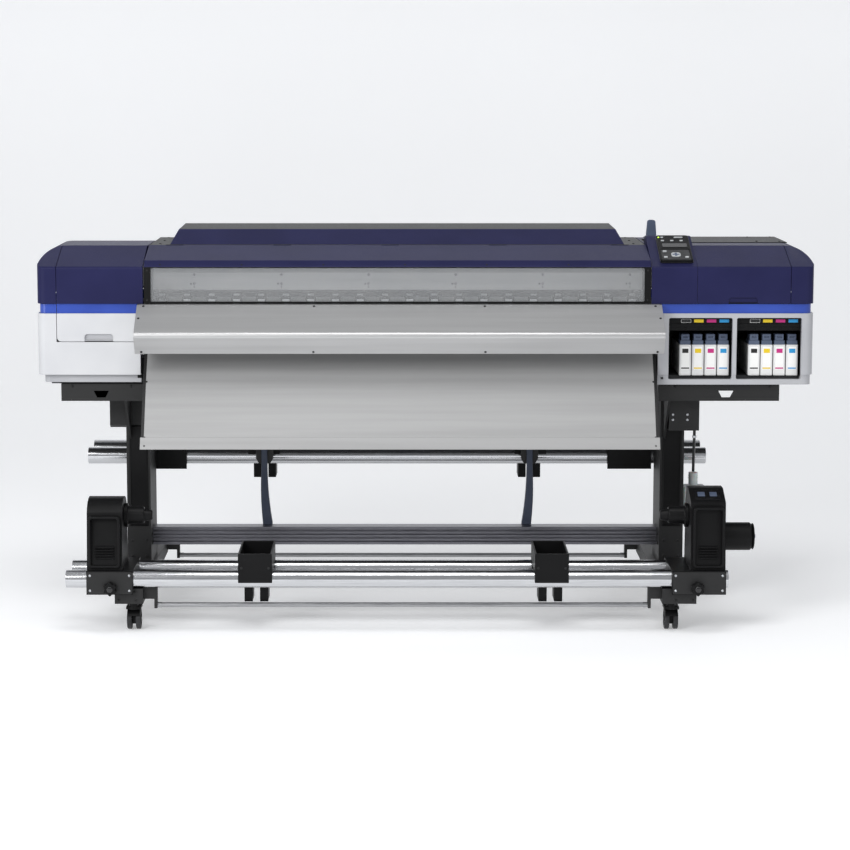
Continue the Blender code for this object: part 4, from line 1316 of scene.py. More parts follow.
@dataclass
class RightHead(SubAssembly):
    """Right end of the head: upper cover with the control pod, door, band, and the frame of the ink bays."""

    door: Span = (0.9155, 1.2295)
    pod: Span = (0.761, 0.914)
    pod_top: Flat = (-0.005, 1.2905)
    near: float = 0.785
    gap: float = 0.0015
    recess: Span = (1.022, 1.118)
    bays: tuple[Span, Span] = ((0.821, 1.036), (1.050, 1.269))
    bay_z: Span = (0.8208, 1.030)

    def build(self) -> None:
        """Builds the upper cover, the door and the bays' frame."""
        self.upper_cover()
        self.door_skin()
        self.band_and_frame()
        self.bay_liner()
        self.details()

    def pod_profile(self, inset: float, bottom: float) -> list[Flat]:
        """The pod's side view: steep slope, level top and a step down behind.

        Args:
            inset: How far the outline moves inwards, in metres.
            bottom: The height of the lower edge.

        Returns:
            The outline, as corners of Y and Z.
        """
        y, z = self.pod_top
        drop = inset * 1.05
        corners = [
            (FORM.front + inset, bottom), (FORM.front + inset, FORM.crease - inset * 0.6, 0.010),
            (y, z - drop, 0.012), (0.035 - inset, z - drop, 0.010), (0.070 - inset, FORM.top - inset, 0.006),
            (0.070 - inset, bottom),
        ]
        return rounded(corners, 6)

    def upper_cover(self) -> None:
        """The upper cover, with the pod that carries the control panel."""
        shell = FORM.end(1, FORM.bay_right + 0.002)
        Bench.fuse(
            shell, Bench.prism(Axis.X, (self.pod[0], self.pod[1] + 0.0005), self.pod_profile(0.0, FORM.upper))
        )
        Bench.cut(
            shell, FORM.end(1, FORM.bay_right - 0.05, FORM.wall, FORM.upper - 0.05),
            Bench.prism(
                Axis.X, (self.pod[0] + FORM.wall, self.pod[1] - FORM.wall),
                self.pod_profile(FORM.wall, FORM.upper - 0.05),
            ),
            Bench.slab(
                (self.pod[1] + 0.0005, -0.30, 1.0), (self.door[1] + self.gap, FORM.slope_rear + 0.0005, 1.4)
            ),
            Bench.slab((0.768, 0.100, 1.20), (0.814, 0.275, 1.40)),
        )
        Bench.soften(shell, 0.0012)
        self.fit(shell, "right_upper_cover", NAVY, "machine", Slot.NAVY, "right_upper_shell")

    def door_skin(self) -> None:
        """The lift-up door, with a hand recess in its lower edge."""
        slope = FORM.slope_rear - self.gap
        wall = FORM.wall
        outline = rounded(
            [
                (FORM.front, FORM.upper), (FORM.front, FORM.crease, 0.010), (slope, FORM.top - 0.0005),
                (slope, FORM.top - 0.0045), (FORM.front + wall, FORM.crease - 0.0024, 0.006),
                (FORM.front + wall, FORM.upper),
            ],
            6,
        )
        door = Bench.prism(Axis.X, self.door, outline)
        notch = rounded(
            [
                (self.recess[0], 1.05), (self.recess[1], 1.05), (self.recess[1], 1.098, 0.008),
                (self.recess[0], 1.098, 0.008),
            ]
        )
        Bench.cut(door, Bench.prism(Axis.Y, (-0.30, -0.2362), notch))
        Bench.soften(door, 0.0010)
        self.fit(door, "right_door", NAVY, "right_cover", Slot.NAVY, "right_maintenance_cover")
        low, high = self.recess[0] - 0.003, self.recess[1] + 0.003
        cup = Bench.slab((low, -0.2385, FORM.upper + 0.0004), (high, -0.2295, 1.101), 0.001, 2)
        Bench.press(cup, lambda n, c: n.y < -0.9 and c.y < -0.238, 0.0035, -0.005)
        self.fit(Bench.soften(cup, 0.0), "right_door_grip", BLACK_ABS, "right_cover", Slot.NAVY)

    def wall_ring(self, low: float, high: float, inset: float) -> Piece:
        """A wall that follows the end's plan, open towards the machine's middle.

        Args:
            low: The height of the lower edge.
            high: The height of the upper edge.
            inset: How far the outline moves inwards, in metres.

        Returns:
            The wall.
        """
        wall = Bench.prism(Axis.Z, (low, high), FORM.plan(1, self.near, inset))
        inner = Bench.prism(
            Axis.Z, (low - 0.01, high + 0.01), FORM.plan(1, self.near - 0.05, inset + FORM.wall)
        )
        return Bench.cut(wall, inner)

    def band_and_frame(self) -> None:
        """The band, and the silver frame with its two bay openings."""
        band = Bench.soften(self.wall_ring(FORM.band - 0.002, FORM.upper - 0.0012, FORM.band_inset), 0.0008)
        self.fit(band, "right_band", BAND_BLUE, "machine", Slot.NAVY)
        shell = Bench.prism(Axis.Z, (FORM.lower, FORM.band), FORM.plan(1, self.near))
        Bench.fuse(
            shell,
            Bench.prism(
                Axis.Z, (0.8033, FORM.lower + 0.002), FORM.plan(1, self.near, FORM.plinth_inset - 0.014)
            ),
        )
        inner = FORM.plan(1, self.near - 0.05, FORM.plinth_inset + FORM.wall)
        Bench.cut(shell, Bench.prism(Axis.Z, (0.70, FORM.upper + 0.05), inner))
        for low, high in self.bays:
            outline = box_outline((low, self.bay_z[0]), (high, self.bay_z[1]), 0.006)
            Bench.cut(shell, Bench.prism(Axis.Y, (-0.30, -0.20), outline))
        Bench.soften(shell, 0.0018, 3)
        self.fit(shell, "ink_bay_frame", SILVER, "machine", Slot.SILVER, "right_lower_frame")

    def bay_liner(self) -> None:
        """Dark moulded liner behind the frame, with both bays open to the front."""
        low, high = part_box("right_lower_frame")
        floor = 0.8303
        liner = Bench.slab((0.803, FORM.front + 0.020, floor), (high.x - 0.0315, 0.110, 1.038))
        for left, right in self.bays:
            Bench.cut(liner, Bench.slab((left, low.y - 0.1, floor - 0.010), (right, 0.060, self.bay_z[1])))
        self.fit(Bench.soften(liner, 0.0), "ink_bay_liner", BLACK_ABS, "machine", Slot.MOULDING)

    def details(self) -> None:
        """Rear plate behind the pod, round end screws and the fixing screws."""
        plate = Bench.slab((0.790, 0.085, FORM.top - 0.001), (1.262, 0.392, FORM.top + 0.0022), 0.0010, 2)
        lever_slot = Bench.slab((0.768, 0.080, 1.20), (0.816, 0.276, 1.40))
        Bench.cut(plate, lever_slot)
        self.fit(Bench.soften(plate, 0.0), "right_rear_plate", BLACK_ABS, "machine", Slot.MOULDING)
        liner = Bench.slab((0.7682, 0.1002, 1.2480), (0.8138, 0.2748, 1.2632), 0.0008, 2)
        Bench.cut(liner, Bench.slab((0.7705, 0.1030, 1.20), (0.8115, 0.2720, 1.40)))
        self.fit(Bench.soften(liner, 0.0), "lever_slot_liner", BLACK_ABS, "machine", Slot.MOULDING)
        places = [((x, y, FORM.top + 0.0022), UP) for x in (1.16, 1.24) for y in (0.12, 0.36)]
        places += [((1.310, y, z), RIGHT) for y in (-0.16, 0.32) for z in (0.875, 1.015)]
        places += [((x, 0.400, z), BACK) for x in (0.80, 0.95, 1.10, 1.25) for z in (0.85, 1.02, 1.11, 1.23)]
        places += [((0.800, FORM.front, 0.826), FRONT)]
        self.fit(Screws().scatter(places), "right_head_screws", BLACK_OXIDE, "machine", Slot.BLACK_STEEL)


@dataclass
class WindowCover(SubAssembly):
    """The flip-up window in front of the media path, and the raised cover behind its hinge."""

    left: float = -0.948
    right: float = 0.759
    pillar: float = 0.022
    hinge: Flat = (-0.032, 1.2628)
    screw_first: float = -0.894
    screw_pitch: float = 0.275
    crown_left: Span = (-0.879, -0.856)
    crown_right: Span = (0.688, 0.664)

    def build(self) -> None:
        """Builds the window's frame and pane, then the raised cover."""
        self.frame_and_pane()
        self.raised_cover()

    def frame_and_pane(self) -> None:
        """Folded lip, pillars and bottom strip around a clear pane."""
        y, z = self.hinge
        lip = rounded(
            [
                (-0.240, 1.199, 0.001), (-0.236, 1.206, 0.004), (-0.210, 1.222, 0.012), (y, z, 0.002),
                (y, z - 0.004), (-0.210, 1.218, 0.010), (-0.232, 1.204, 0.002), (-0.232, 1.199),
            ],
            4,
        )
        cover = Bench.soften(Bench.prism(Axis.X, (self.left, self.right), lip), 0.0006)
        self.fit(cover, "window_lip", NAVY, "window_cover", Slot.NAVY, "front_cover")
        outer = box_outline((self.left, 1.0785), (self.right, 1.2015), 0.003)
        surround = Bench.prism(Axis.Y, (-0.2397, -0.2360), outer)
        opening = box_outline((self.left + self.pillar, 1.0850), (self.right - self.pillar, 1.1990), 0.004)
        Bench.cut(surround, Bench.prism(Axis.Y, (-0.26, -0.22), opening))
        Bench.soften(surround, 0.0008)
        self.fit(surround, "window_surround", BLACK_ABS, "window_cover", Slot.NAVY)
        pane = Bench.slab(
            (self.left + 0.006, -0.2357, 1.0792), (self.right - 0.006, -0.2327, 1.1985), 0.0006, 2
        )
        self.fit(Bench.soften(pane, 0.0), "window_pane", ACRYLIC, "window_cover", Slot.WINDOW, "front_window")
        places = []
        x = self.screw_first
        while x < self.right - 0.03:
            places.append(((x, -0.2318, 1.2086), (0.0, -0.524, 0.852)))
            x += self.screw_pitch
        places += [
            ((x, -0.2397, z), FRONT) for x in (self.left + 0.011, self.right - 0.011) for z in (1.090, 1.190)
        ]
        self.fit(
            Screws(0.0034, 0.0016).scatter(places), "window_screws", BLACK_OXIDE, "window_cover",
            Slot.BLACK_STEEL,
        )
        hinge = []
        for x in (-0.86, -0.49, -0.12, 0.25, 0.67):
            knuckle = Bench.lathe(
                Axis.X, [(-0.03, 0.0), (-0.03, 0.0026), (0.03, 0.0026), (0.03, 0.0)], (x, -0.0345, 1.2612), 16
            )
            hinge.append(knuckle)
        self.fit(
            Bench.soften(Bench.join(hinge), 0.0), "window_hinges", BLACK_OXIDE, "window_cover",
            Slot.BLACK_STEEL,
        )

    def crown(self, inset: float, bottom: float) -> Piece:
        """The raised part's solid, its ends leaning inwards.

        Args:
            inset: How far the outline moves inwards, in metres.
            bottom: The height of the lower edge.

        Returns:
            The solid.
        """
        top = 1.309 - inset
        outline = rounded(
            [
                (inset, bottom), (inset, 1.262, 0.004), (0.100, top, 0.012), (0.350, top + 0.006, 0.014),
                (0.395 - inset, 1.290 - inset, 0.010), (0.395 - inset, bottom),
            ],
            6,
        )
        low, high = self.crown_left[0] + inset, self.crown_right[0] - inset
        form = Bench.prism(Axis.X, (low, high), outline)
        lean = self.crown_left[1] - self.crown_left[0]
        Bench.slice_off(form, (low, 0.0, 1.262), (-0.047, 0.0, lean))
        return Bench.slice_off(form, (high, 0.0, 1.262), (0.047, 0.0, lean))

    def raised_cover(self) -> None:
        """Navy front slope, black top plate and a black flange round them."""
        shell = self.crown(0.0, 1.2585)
        Bench.cut(shell, self.crown(0.005, 1.20))
        top = Bench.copy(shell)
        Bench.slice_off(shell, (0.0, 0.104, 1.309), (0.0, 1.0, 0.0))
        Bench.slice_off(top, (0.0, 0.1055, 1.309), (0.0, -1.0, 0.0))
        Bench.soften(shell, 0.0016)
        self.fit(shell, "raised_cover_front", NAVY, "machine", Slot.NAVY, "top_cover")
        Bench.soften(top, 0.0016)
        self.fit(top, "raised_cover_top", BLACK_ABS, "machine", Slot.MOULDING)
        flange = Bench.slab((self.left, -0.028, 1.2510), (self.right, 0.3955, 1.2620), 0.0015, 2)
        Bench.cut(flange, Bench.slab((-0.872, 0.008, 1.20), (0.681, 0.386, 1.30)))
        self.fit(Bench.soften(flange, 0.0), "raised_cover_flange", BLACK_ABS, "machine", Slot.MOULDING)
        places = [((x, y, 1.2620), UP) for x in (-0.915, 0.722) for y in (0.03, 0.20, 0.36)]
        places += [((-0.70 + 0.31 * i, 0.3955, 1.272), BACK) for i in range(5)]
        self.fit(Screws().scatter(places), "raised_cover_screws", BLACK_OXIDE, "machine", Slot.BLACK_STEEL)
        slots = []
        slot = Bench.slab((-0.70, 0.3935, 1.2665), (-0.66, 0.3965, 1.2690), 0.0006, 2)
        for row in range(2):
            for step in range(22):
                slots.append(Bench.copy(slot, (0.061 * step, 0.0, 0.008 * row)))
        bpy.data.objects.remove(slot, do_unlink=True)
        self.fit(Bench.join(slots), "raised_cover_vents", GLOSS_BLACK, "machine", Slot.MOULDING)


@dataclass
class MediaPath(SubAssembly):
    """What the sheet of media meets: beam cover, pinch and feed rollers, platen, heated guide and hood."""

    left: float = -0.930
    right: float = 0.740
    feed_axis: Flat = (-0.078, 1.056)
    hole_first: float = -0.792
    hole_pitch: float = 0.299
    hood: Span = (-0.969, 0.793)
    guide: Span = (-0.950, 0.778)

    def build(self) -> None:
        """Builds from the inside outwards."""
        self.body_frame()
        self.beam_panel()
        self.pinch_rollers()
        self.feed()
        self.platen()
        self.entry_guide()
        self.carriage()
        self.heated_guide()
        self.dryer_hood()

    def body_frame(self) -> None:
        """The welded frame, as its CAD shape with rounded edges."""
        frame_piece = Bench.soften(Bench.refine("chassis"), 0.0008)
        self.fit(frame_piece, "head_frame", INNER_STEEL, "machine", Slot.BLACK_STEEL, "chassis")

    def beam_panel(self) -> None:
        """Folded sheet over the carriage beam, with its groups of fixing holes and the rail above."""
        panel = Bench.soften(Bench.refine("beam_cover"), 0.0006)
        self.fit(panel, "beam_panel", PANEL_SHEET, "machine", Slot.SHEET, "beam_cover")
        rings, marks = [], []
        x = self.hole_first
        while x < self.right - 0.02:
            for z, size in ((1.1627, 0.0042), (1.1314, 0.0042), (1.1202, 0.0026)):
                profile = [
                    (-0.0006, 0.0), (-0.0006, size), (0.0008, size), (0.0008, size * 0.5),
                    (-0.0004, size * 0.45),
                ]
                rings.append(
                    Bench.lathe(Axis.Y, [(-a, r) for a, r in profile] + [(0.0004, 0.0)], (x, -0.0600, z), 16)
                )
            marks.append(Bench.slab((x - 0.014, -0.0606, 1.128), (x - 0.009, -0.0598, 1.134), 0.0003, 1))
            x += self.hole_pitch
        self.fit(
            Bench.soften(Bench.join(rings), 0.0), "beam_panel_fixings", BLACK_OXIDE, "machine",
            Slot.BLACK_STEEL,
        )
        self.fit(Bench.join(marks), "beam_panel_marks", BLACK_ABS, "machine", Slot.MOULDING)
        rail = Bench.slab(
            (self.left + 0.004, -0.0640, 1.1840), (self.right - 0.004, -0.0598, 1.1905), 0.0010, 2
        )
        Bench.press(rail, lambda n, c: n.y < -0.9, 0.0012, -0.0010)
        self.fit(Bench.soften(rail, 0.0), "carriage_rail", EXTRUSION, "machine", Slot.EXTRUSION)
        belt = Bench.slab(
            (self.left + 0.004, -0.0618, 1.1930), (self.right - 0.004, -0.0600, 1.1985), 0.0004, 1
        )
        self.fit(belt, "carriage_belt", TUBE, "machine", Slot.TUBE)

    def pinch_rollers(self) -> None:
        """Black bar with twenty sprung arms, each with one small roller."""
        low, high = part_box("pinch_roller_bar")
        bar = Bench.slab((low.x, low.y + 0.001, 1.0885), (high.x, high.y - 0.001, high.z - 0.0004), 0.0015, 2)
        Bench.press(bar, lambda n, c: n.y < -0.9, 0.0030, -0.0012)
        self.fit(
            Bench.soften(bar, 0.0), "pinch_bar", BLACK_ABS, "pinch_rollers", Slot.MOULDING, "pinch_roller_bar"
        )
        count = 20
        first = low.x + 0.030
        pitch = (high.x - low.x - 0.060) / (count - 1)
        arm = Bench.prism(
            Axis.X, (first - 0.018, first + 0.018),
            rounded(
                [
                    (-0.0905, 1.0885), (-0.0905, 1.0780, 0.002), (-0.0840, 1.0715, 0.003),
                    (-0.0700, 1.0715, 0.003), (-0.0660, 1.0800, 0.003), (-0.0660, 1.0885),
                ],
                3,
            ),
        )
        Bench.soften(arm, 0.0007)
        wheel = Bench.lathe(
            Axis.X,
            [
                (-0.012, 0.0), (-0.012, 0.0042), (-0.011, 0.0048), (0.011, 0.0048), (0.012, 0.0042),
                (0.012, 0.0),
            ],
            (first, -0.0870, 1.0770), 16,
        )
        Bench.soften(wheel, 0.0)
        label = Bench.slab((first - 0.010, -0.0926, 1.0925), (first + 0.010, -0.0912, 1.1000), 0.0006, 2)
        groups = {
            "pinch_arms": (arm, BLACK_ABS), "pinch_wheels": (wheel, KEY_GREY),
            "pinch_spring_caps": (label, ROLLER),
        }
        for name, (master, finish) in groups.items():
            copies = [Bench.copy(master, (pitch * index, 0.0, 0.0)) for index in range(count)]
            bpy.data.objects.remove(master, do_unlink=True)
            self.fit(Bench.join(copies), name, finish, "pinch_rollers", Slot.MOULDING)

    def feed(self) -> None:
        """Ground feed roller with gritted bands."""
        low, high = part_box("feed_roller")
        y, z = self.feed_axis
        start, end = low.x + 0.009, high.x - 0.009
        profile = [(low.x, 0.0), (low.x, 0.006), (start, 0.006), (start, 0.012)]
        bands, x = 20, start
        step = (end - start) / bands
        for _ in range(bands):
            profile += [
                (x + step * 0.28, 0.0120), (x + step * 0.29, 0.0113), (x + step * 0.71, 0.0113),
                (x + step * 0.72, 0.0120),
            ]
            x += step
        profile += [(end, 0.012), (end, 0.006), (high.x, 0.006), (high.x, 0.0)]
        roller = Bench.soften(Bench.lathe(Axis.X, profile, (0.0, y, z), 24), 0.0)
        self.fit(roller, "feed_roller_grit", ROLLER, "feed_roller", Slot.ROLLER, "feed_roller")

    def platen(self) -> None:
        """Anodised platen skins with their vacuum holes, and the cutting groove's strip."""
        rear = Bench.slab((self.left, -0.0632, 1.0655), (self.right, 0.150, 1.0672), 0.0004, 1)
        front = Bench.slab((self.left, -0.1880, 1.0655), (self.right, -0.0935, 1.0672), 0.0004, 1)
        self.fit(
            Bench.soften(Bench.join([rear, front]), 0.0), "platen_skin", PLATEN, "machine", Slot.EXTRUSION
        )
        groove = Bench.slab(
            (self.left + 0.02, -0.172, 1.0668), (self.right - 0.02, -0.166, 1.0676), 0.0003, 1
        )
        self.fit(groove, "cutting_strip", BLACK_ABS, "machine", Slot.MOULDING)
        ring = Bench.lathe(
            Axis.Z, [(1.0668, 0.0), (1.0668, 0.0022), (1.0674, 0.0022), (1.0674, 0.0012), (1.0670, 0.0)],
            (self.left + 0.03, -0.045, 0.0), 8,
        )
        holes = [
            Bench.copy(ring, (0.0547 * column, 0.030 * row, 0.0)) for column in range(30) for row in range(3)
        ]
        bpy.data.objects.remove(ring, do_unlink=True)
        self.fit(Bench.join(holes), "platen_holes", BLACK_OXIDE, "machine", Slot.BLACK_STEEL)

    def entry_guide(self) -> None:
        """Upper guide that leads the sheet in from behind, under the carriage beam."""
        outline = [
            (0.1000, 1.1195), (0.1780, 1.0820), (0.1840, 1.0820), (0.1850, 1.0835), (0.1040, 1.1225),
            (0.1000, 1.1225),
        ]
        guide = Bench.soften(Bench.prism(Axis.X, (self.left, self.right), outline), 0.0006)
        self.fit(guide, "entry_guide", BLACK_STEEL, "machine", Slot.BLACK_STEEL)

    def carriage(self) -> None:
        """Print carriage: its CAD shape softened, with a recessed front plate and four screws."""
        low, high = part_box("print_carriage")
        body = Bench.soften(Bench.refine("print_carriage"), 0.0020, 3)
        self.fit(body, "carriage_body", BLACK_ABS, "carriage", Slot.BLACK_STEEL, "print_carriage")
        window = Bench.slab(
            (low.x + 0.030, low.y - 0.0012, 1.100), (high.x - 0.030, low.y + 0.002, 1.158), 0.003, 2
        )
        Bench.press(window, lambda n, c: n.y < -0.9, 0.004, -0.0018)
        self.fit(Bench.soften(window, 0.0), "carriage_badge_plate", INNER_STEEL, "carriage", Slot.MOULDING)
        places = [((x, low.y, z), FRONT) for x in (low.x + 0.014, high.x - 0.014) for z in (1.092, 1.156)]
        self.fit(Screws().scatter(places), "carriage_screws", ZINC, "carriage", Slot.BLACK_STEEL)

    def heated_guide(self) -> None:
        """The curved sheet that carries the print down and forwards, with its folded lip."""
        path = [
            (-0.410, 0.607), (-0.366, 0.688), (-0.320, 0.768), (-0.276, 0.837), (-0.236, 0.888),
            (-0.212, 0.925),
        ]
        path += [(-0.206, 0.960), (-0.206, 1.045)]
        line = [(y, z) for _, y, z in flowing([(0.0, y, z) for y, z in path], 5)]
        back = [(y + 0.010, z) for y, z in reversed(line)]
        back[-1] = (-0.398, 0.607)
        inset = 0.010
        sheet = Bench.prism(Axis.X, (self.guide[0] + inset, self.guide[1] - inset), line + back)
        Bench.soften(sheet, 0.0008)
        self.fit(sheet, "guide_sheet", SHADED_GUIDE_SHEET, "machine", Slot.SHEET, "after_heater_guide")
        shadow = [(y + 0.0010, z) for y, z in line] + [(y + 0.0005, z) for y, z in back]
        sides = []
        for low in (self.guide[0], self.guide[1] - inset - 0.0005):
            sides.append(Bench.prism(Axis.X, (low, low + inset + 0.0005), shadow))
        self.fit(
            Bench.soften(Bench.join(sides), 0.0008), "guide_edges", BLACK_STEEL, "machine", Slot.BLACK_STEEL
        )
        y_low, z_low = -0.4105, 0.6065
        lip = rounded(
            [
                (y_low, z_low, 0.002), (y_low + 0.0195, z_low + 0.0385, 0.001),
                (y_low + 0.0215, z_low + 0.0375, 0.001), (y_low + 0.0040, z_low, 0.001),
            ],
            3,
        )
        strip = Bench.prism(
            Axis.X, (self.guide[0] - 0.002, self.guide[1] + 0.002), [(y - 0.0012, z) for y, z in lip]
        )
        self.fit(Bench.soften(strip, 0.0004), "guide_lip", SHADED_GUIDE_SHEET, "machine", Slot.SHEET)
        edges = (self.guide[0] + 0.012, self.guide[1] - 0.012)
        places = [((x, -0.2880, 0.8190), (0.0, -0.84, 0.54)) for x in edges]
        places += [((x, -0.3900, 0.6440), (0.0, -0.87, 0.49)) for x in edges]
        places += [((x, -0.4050, 0.6180), (0.0, -0.87, 0.49)) for x in edges]
        self.fit(
            Screws(0.0034, 0.0016).scatter(places), "guide_screws", BLACK_OXIDE, "machine", Slot.BLACK_STEEL
        )

    def hood_outline(self, inset: float) -> list[Flat]:
        """The hood's section: flat top lip, slope, rounded nose and underside."""
        nose = arc((-0.386, 0.984), (0.016 - inset, 0.016 - inset), 125, 205, 10)
        return [(-0.2405, 1.077 - inset), (-0.270 + inset * 0.4, 1.077 - inset), *nose]

    def dryer_hood(self) -> None:
        """Folded hood with closed ends, open behind, and its rows of screws."""
        low, high = self.hood
        outer = [*self.hood_outline(0.0), (-0.360, 0.9215), (-0.350, 0.9215)]
        inner = [(-0.352, 0.928), *reversed(self.hood_outline(0.003))]
        skin = Bench.soften(Bench.prism(Axis.X, (low, high), outer + inner), 0.0005)
        self.fit(skin, "hood_skin", HOOD_SHEET, "machine", Slot.SHEET, "dryer_hood")
        ends = []
        plate = [*outer, (-0.2405, 0.980)]
        for start in (low - 0.0006, high - 0.0044):
            ends.append(
                Bench.prism(Axis.X, (start, start + 0.005), [(y * 0.998 - 0.0002, z) for y, z in plate])
            )
        self.fit(Bench.soften(Bench.join(ends), 0.0010), "hood_ends", HOOD_SHEET, "machine", Slot.SHEET)
        slope = (0.0, -0.538, 0.843)
        under = (0.0, -0.809, -0.588)
        count = 4
        places = []
        for index in range(count):
            x = low + 0.022 + (high - low - 0.044) * index / (count - 1)
            places.append(((x, -0.2765, 1.0729), slope))
            places.append(((x, -0.3650, 0.9284), under))
        for x in (low + 0.010, high - 0.010):
            places.append(((x, -0.3320, 1.0374), slope))
        self.fit(
            Screws(0.0042, 0.0016).scatter(places), "hood_screws", BLACK_OXIDE, "machine", Slot.BLACK_STEEL
        )


@dataclass
class WasteTube(SubAssembly):
    """Soft tube that carries waste ink down from the drain box into the bottle's neck."""

    start: Point = (0.930, -0.085, 0.6285)
    end: Point = (0.941, 0.030, 0.466)
    radius: float = 0.005
    points: int = 24

    def route(self) -> list[Point]:
        """Points down the tube, which hangs in a lazy S: x and y ease over while z falls evenly.

        Returns:
            The points, from the drain box to the bottle.
        """
        steps = [index / self.points for index in range(self.points + 1)]
        eases = [along * along * (3 - 2 * along) for along in steps]
        (x, y, z), (end_x, end_y, end_z) = self.start, self.end
        return [
            (x + (end_x - x) * ease, y + (end_y - y) * ease, z + (end_z - z) * along)
            for along, ease in zip(steps, eases)
        ]

    def build(self) -> None:
        path = self.route()
        hose = Bench.soften(Bench.pipe(path, self.radius, 4), 0.0)
        self.fit(hose, "waste_tube_hose", TUBE, "machine", Slot.TUBE, "waste_tube")
        clip_profile = [(0.600, 0.0050), (0.600, 0.0072), (0.608, 0.0072), (0.608, 0.0050)]
        clip = Bench.lathe(Axis.Z, clip_profile, (0.9304, -0.0815, 0.0), 20, ring=True)
        self.fit(Bench.soften(clip, 0.0006), "waste_tube_clip", ZINC, "machine", Slot.TUBE)


@dataclass
class InkSupply(SubAssembly):
    """Eight cartridges in two bays, the bays' tags, and the waste bottle."""

    inks: tuple[str, ...] = ("black", "yellow", "magenta", "cyan")
    tag_z: Span = (1.0125, 1.0232)
    tag_front: float = -0.2168

    def build(self) -> None:
        """Builds the cartridges, the tags, then the waste bottle."""
        self.liner_floor()
        for bay in ("left", "right"):
            for ink in self.inks:
                self.cartridge(ink, f"cartridge_{ink}_{bay}")
        self.tags()
        self.bottle()

    def liner_floor(self) -> None:
        """Inside of both bays: guide ribs on their floor, and a dark band of slots above."""
        ribs = []
        for low, high in ((0.821, 1.036), (1.050, 1.269)):
            x = high - 0.006 - 0.040 - 3 * 0.043 - 0.0025
            rib = Bench.slab((x, -0.190, 0.8296), (x + 0.0015, 0.045, 0.8345), 0.0004, 1)
            ribs += [Bench.copy(rib, (0.043 * i, 0.0, 0.0)) for i in range(5)]
            bpy.data.objects.remove(rib, do_unlink=True)
            ribs.append(Bench.slab((low + 0.001, -0.2158, 0.985), (high - 0.001, -0.2120, 1.029), 0.0008, 1))
            ribs.append(
                Bench.slab((low + 0.001, -0.2190, 0.9985), (high - 0.001, -0.2130, 1.0085), 0.0010, 2)
            )
            slot = Bench.slab((x + 0.021, -0.2172, 0.984), (x + 0.024, -0.2150, 0.998), 0.0010, 2)
            ribs += [Bench.copy(slot, (0.043 * i, 0.0, 0.0)) for i in range(4)]
            bpy.data.objects.remove(slot, do_unlink=True)
        self.fit(Bench.soften(Bench.join(ribs), 0.0), "ink_bay_guides", BLACK_ABS, "machine", Slot.MOULDING)

    def cartridge(self, ink: str, node: str) -> None:
        """One cartridge: pale shell, slate grip tab, paper patch and its colour marks.

        Args:
            ink: The ink's name.
            node: The CAD node and body that the cartridge is.
        """
        low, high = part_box(node)
        top = 0.936
        shell = Bench.slab((low.x, low.y, low.z), (high.x, high.y, top), 0.0030, 3)
        Bench.press(shell, lambda n, c: n.y < -0.9 and c.y < low.y + 0.0005, 0.0025, -0.0006)
        Bench.press(shell, lambda n, c: n.x > 0.99 and c.x > high.x - 0.0005, 0.010, -0.0008)
        Bench.press(shell, lambda n, c: n.x < -0.99 and c.x < low.x + 0.0005, 0.010, -0.0008)
        self.fit(Bench.soften(shell, 0.0), f"{node}_shell", CARTRIDGE_WHITE, node, Slot.CARTRIDGE, node)
        grip = Bench.slab((low.x + 0.0055, -0.2000, 0.930), (high.x - 0.0055, -0.1200, 0.9715), 0.0022, 2)
        step = Bench.slab((low.x + 0.0022, -0.2035, 0.9345), (high.x - 0.0022, -0.1400, 0.9500), 0.0014, 2)
        Bench.fuse(grip, step)
        Bench.cut(
            grip, Bench.slab((low.x + 0.012, -0.2040, 0.9585), (high.x - 0.012, -0.1960, 0.9650), 0.0008, 1)
        )
        self.fit(Bench.soften(grip, 0.0004), f"{node}_grip", SLATE, node, Slot.SLATE)
        face = low.y - 0.0012
        patch = Bench.slab((low.x + 0.0065, face, 0.851), (high.x - 0.0065, low.y + 0.001, 0.9285), 0.0002, 1)
        self.fit(patch, f"{node}_card", PAPER, node, Slot.CARTRIDGE)
        square = Bench.slab(
            (low.x + 0.0095, face - 0.0002, 0.9080), (high.x - 0.0095, face + 0.0005, 0.9225), 0.0001, 1
        )
        strip = Bench.slab(
            (low.x + 0.0065, face - 0.0002, 0.8540), (high.x - 0.0065, face + 0.0005, 0.8585), 0.0001, 1
        )
        self.fit(Bench.join([square, strip]), f"{node}_colour", INK_FILMS[ink], node, Slot.CARTRIDGE)

    def tags(self) -> None:
        """Plain coloured tags over each cartridge, along the top of both bays."""
        rims = []
        for ink in self.inks:
            tags = []
            for bay in ("left", "right"):
                low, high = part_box(f"cartridge_{ink}_{bay}")
                tag = Bench.slab(
                    (low.x + 0.004, self.tag_front, self.tag_z[0]), (high.x - 0.004, -0.2150, self.tag_z[1]),
                    0.0004, 2,
                )
                if ink == "black":
                    rims.append(
                        Bench.slab(
                            (low.x + 0.0032, self.tag_front + 0.0003, self.tag_z[0] - 0.0008),
                            (high.x - 0.0032, -0.2150, self.tag_z[1] + 0.0008), 0.0003, 1,
                        )
                    )
                tags.append(tag)
            self.fit(Bench.join(tags), f"bay_tags_{ink}", INK_FILMS[ink], "machine", Slot.CARTRIDGE)
        self.fit(Bench.join(rims), "bay_tag_rims", PAPER, "machine", Slot.CARTRIDGE)

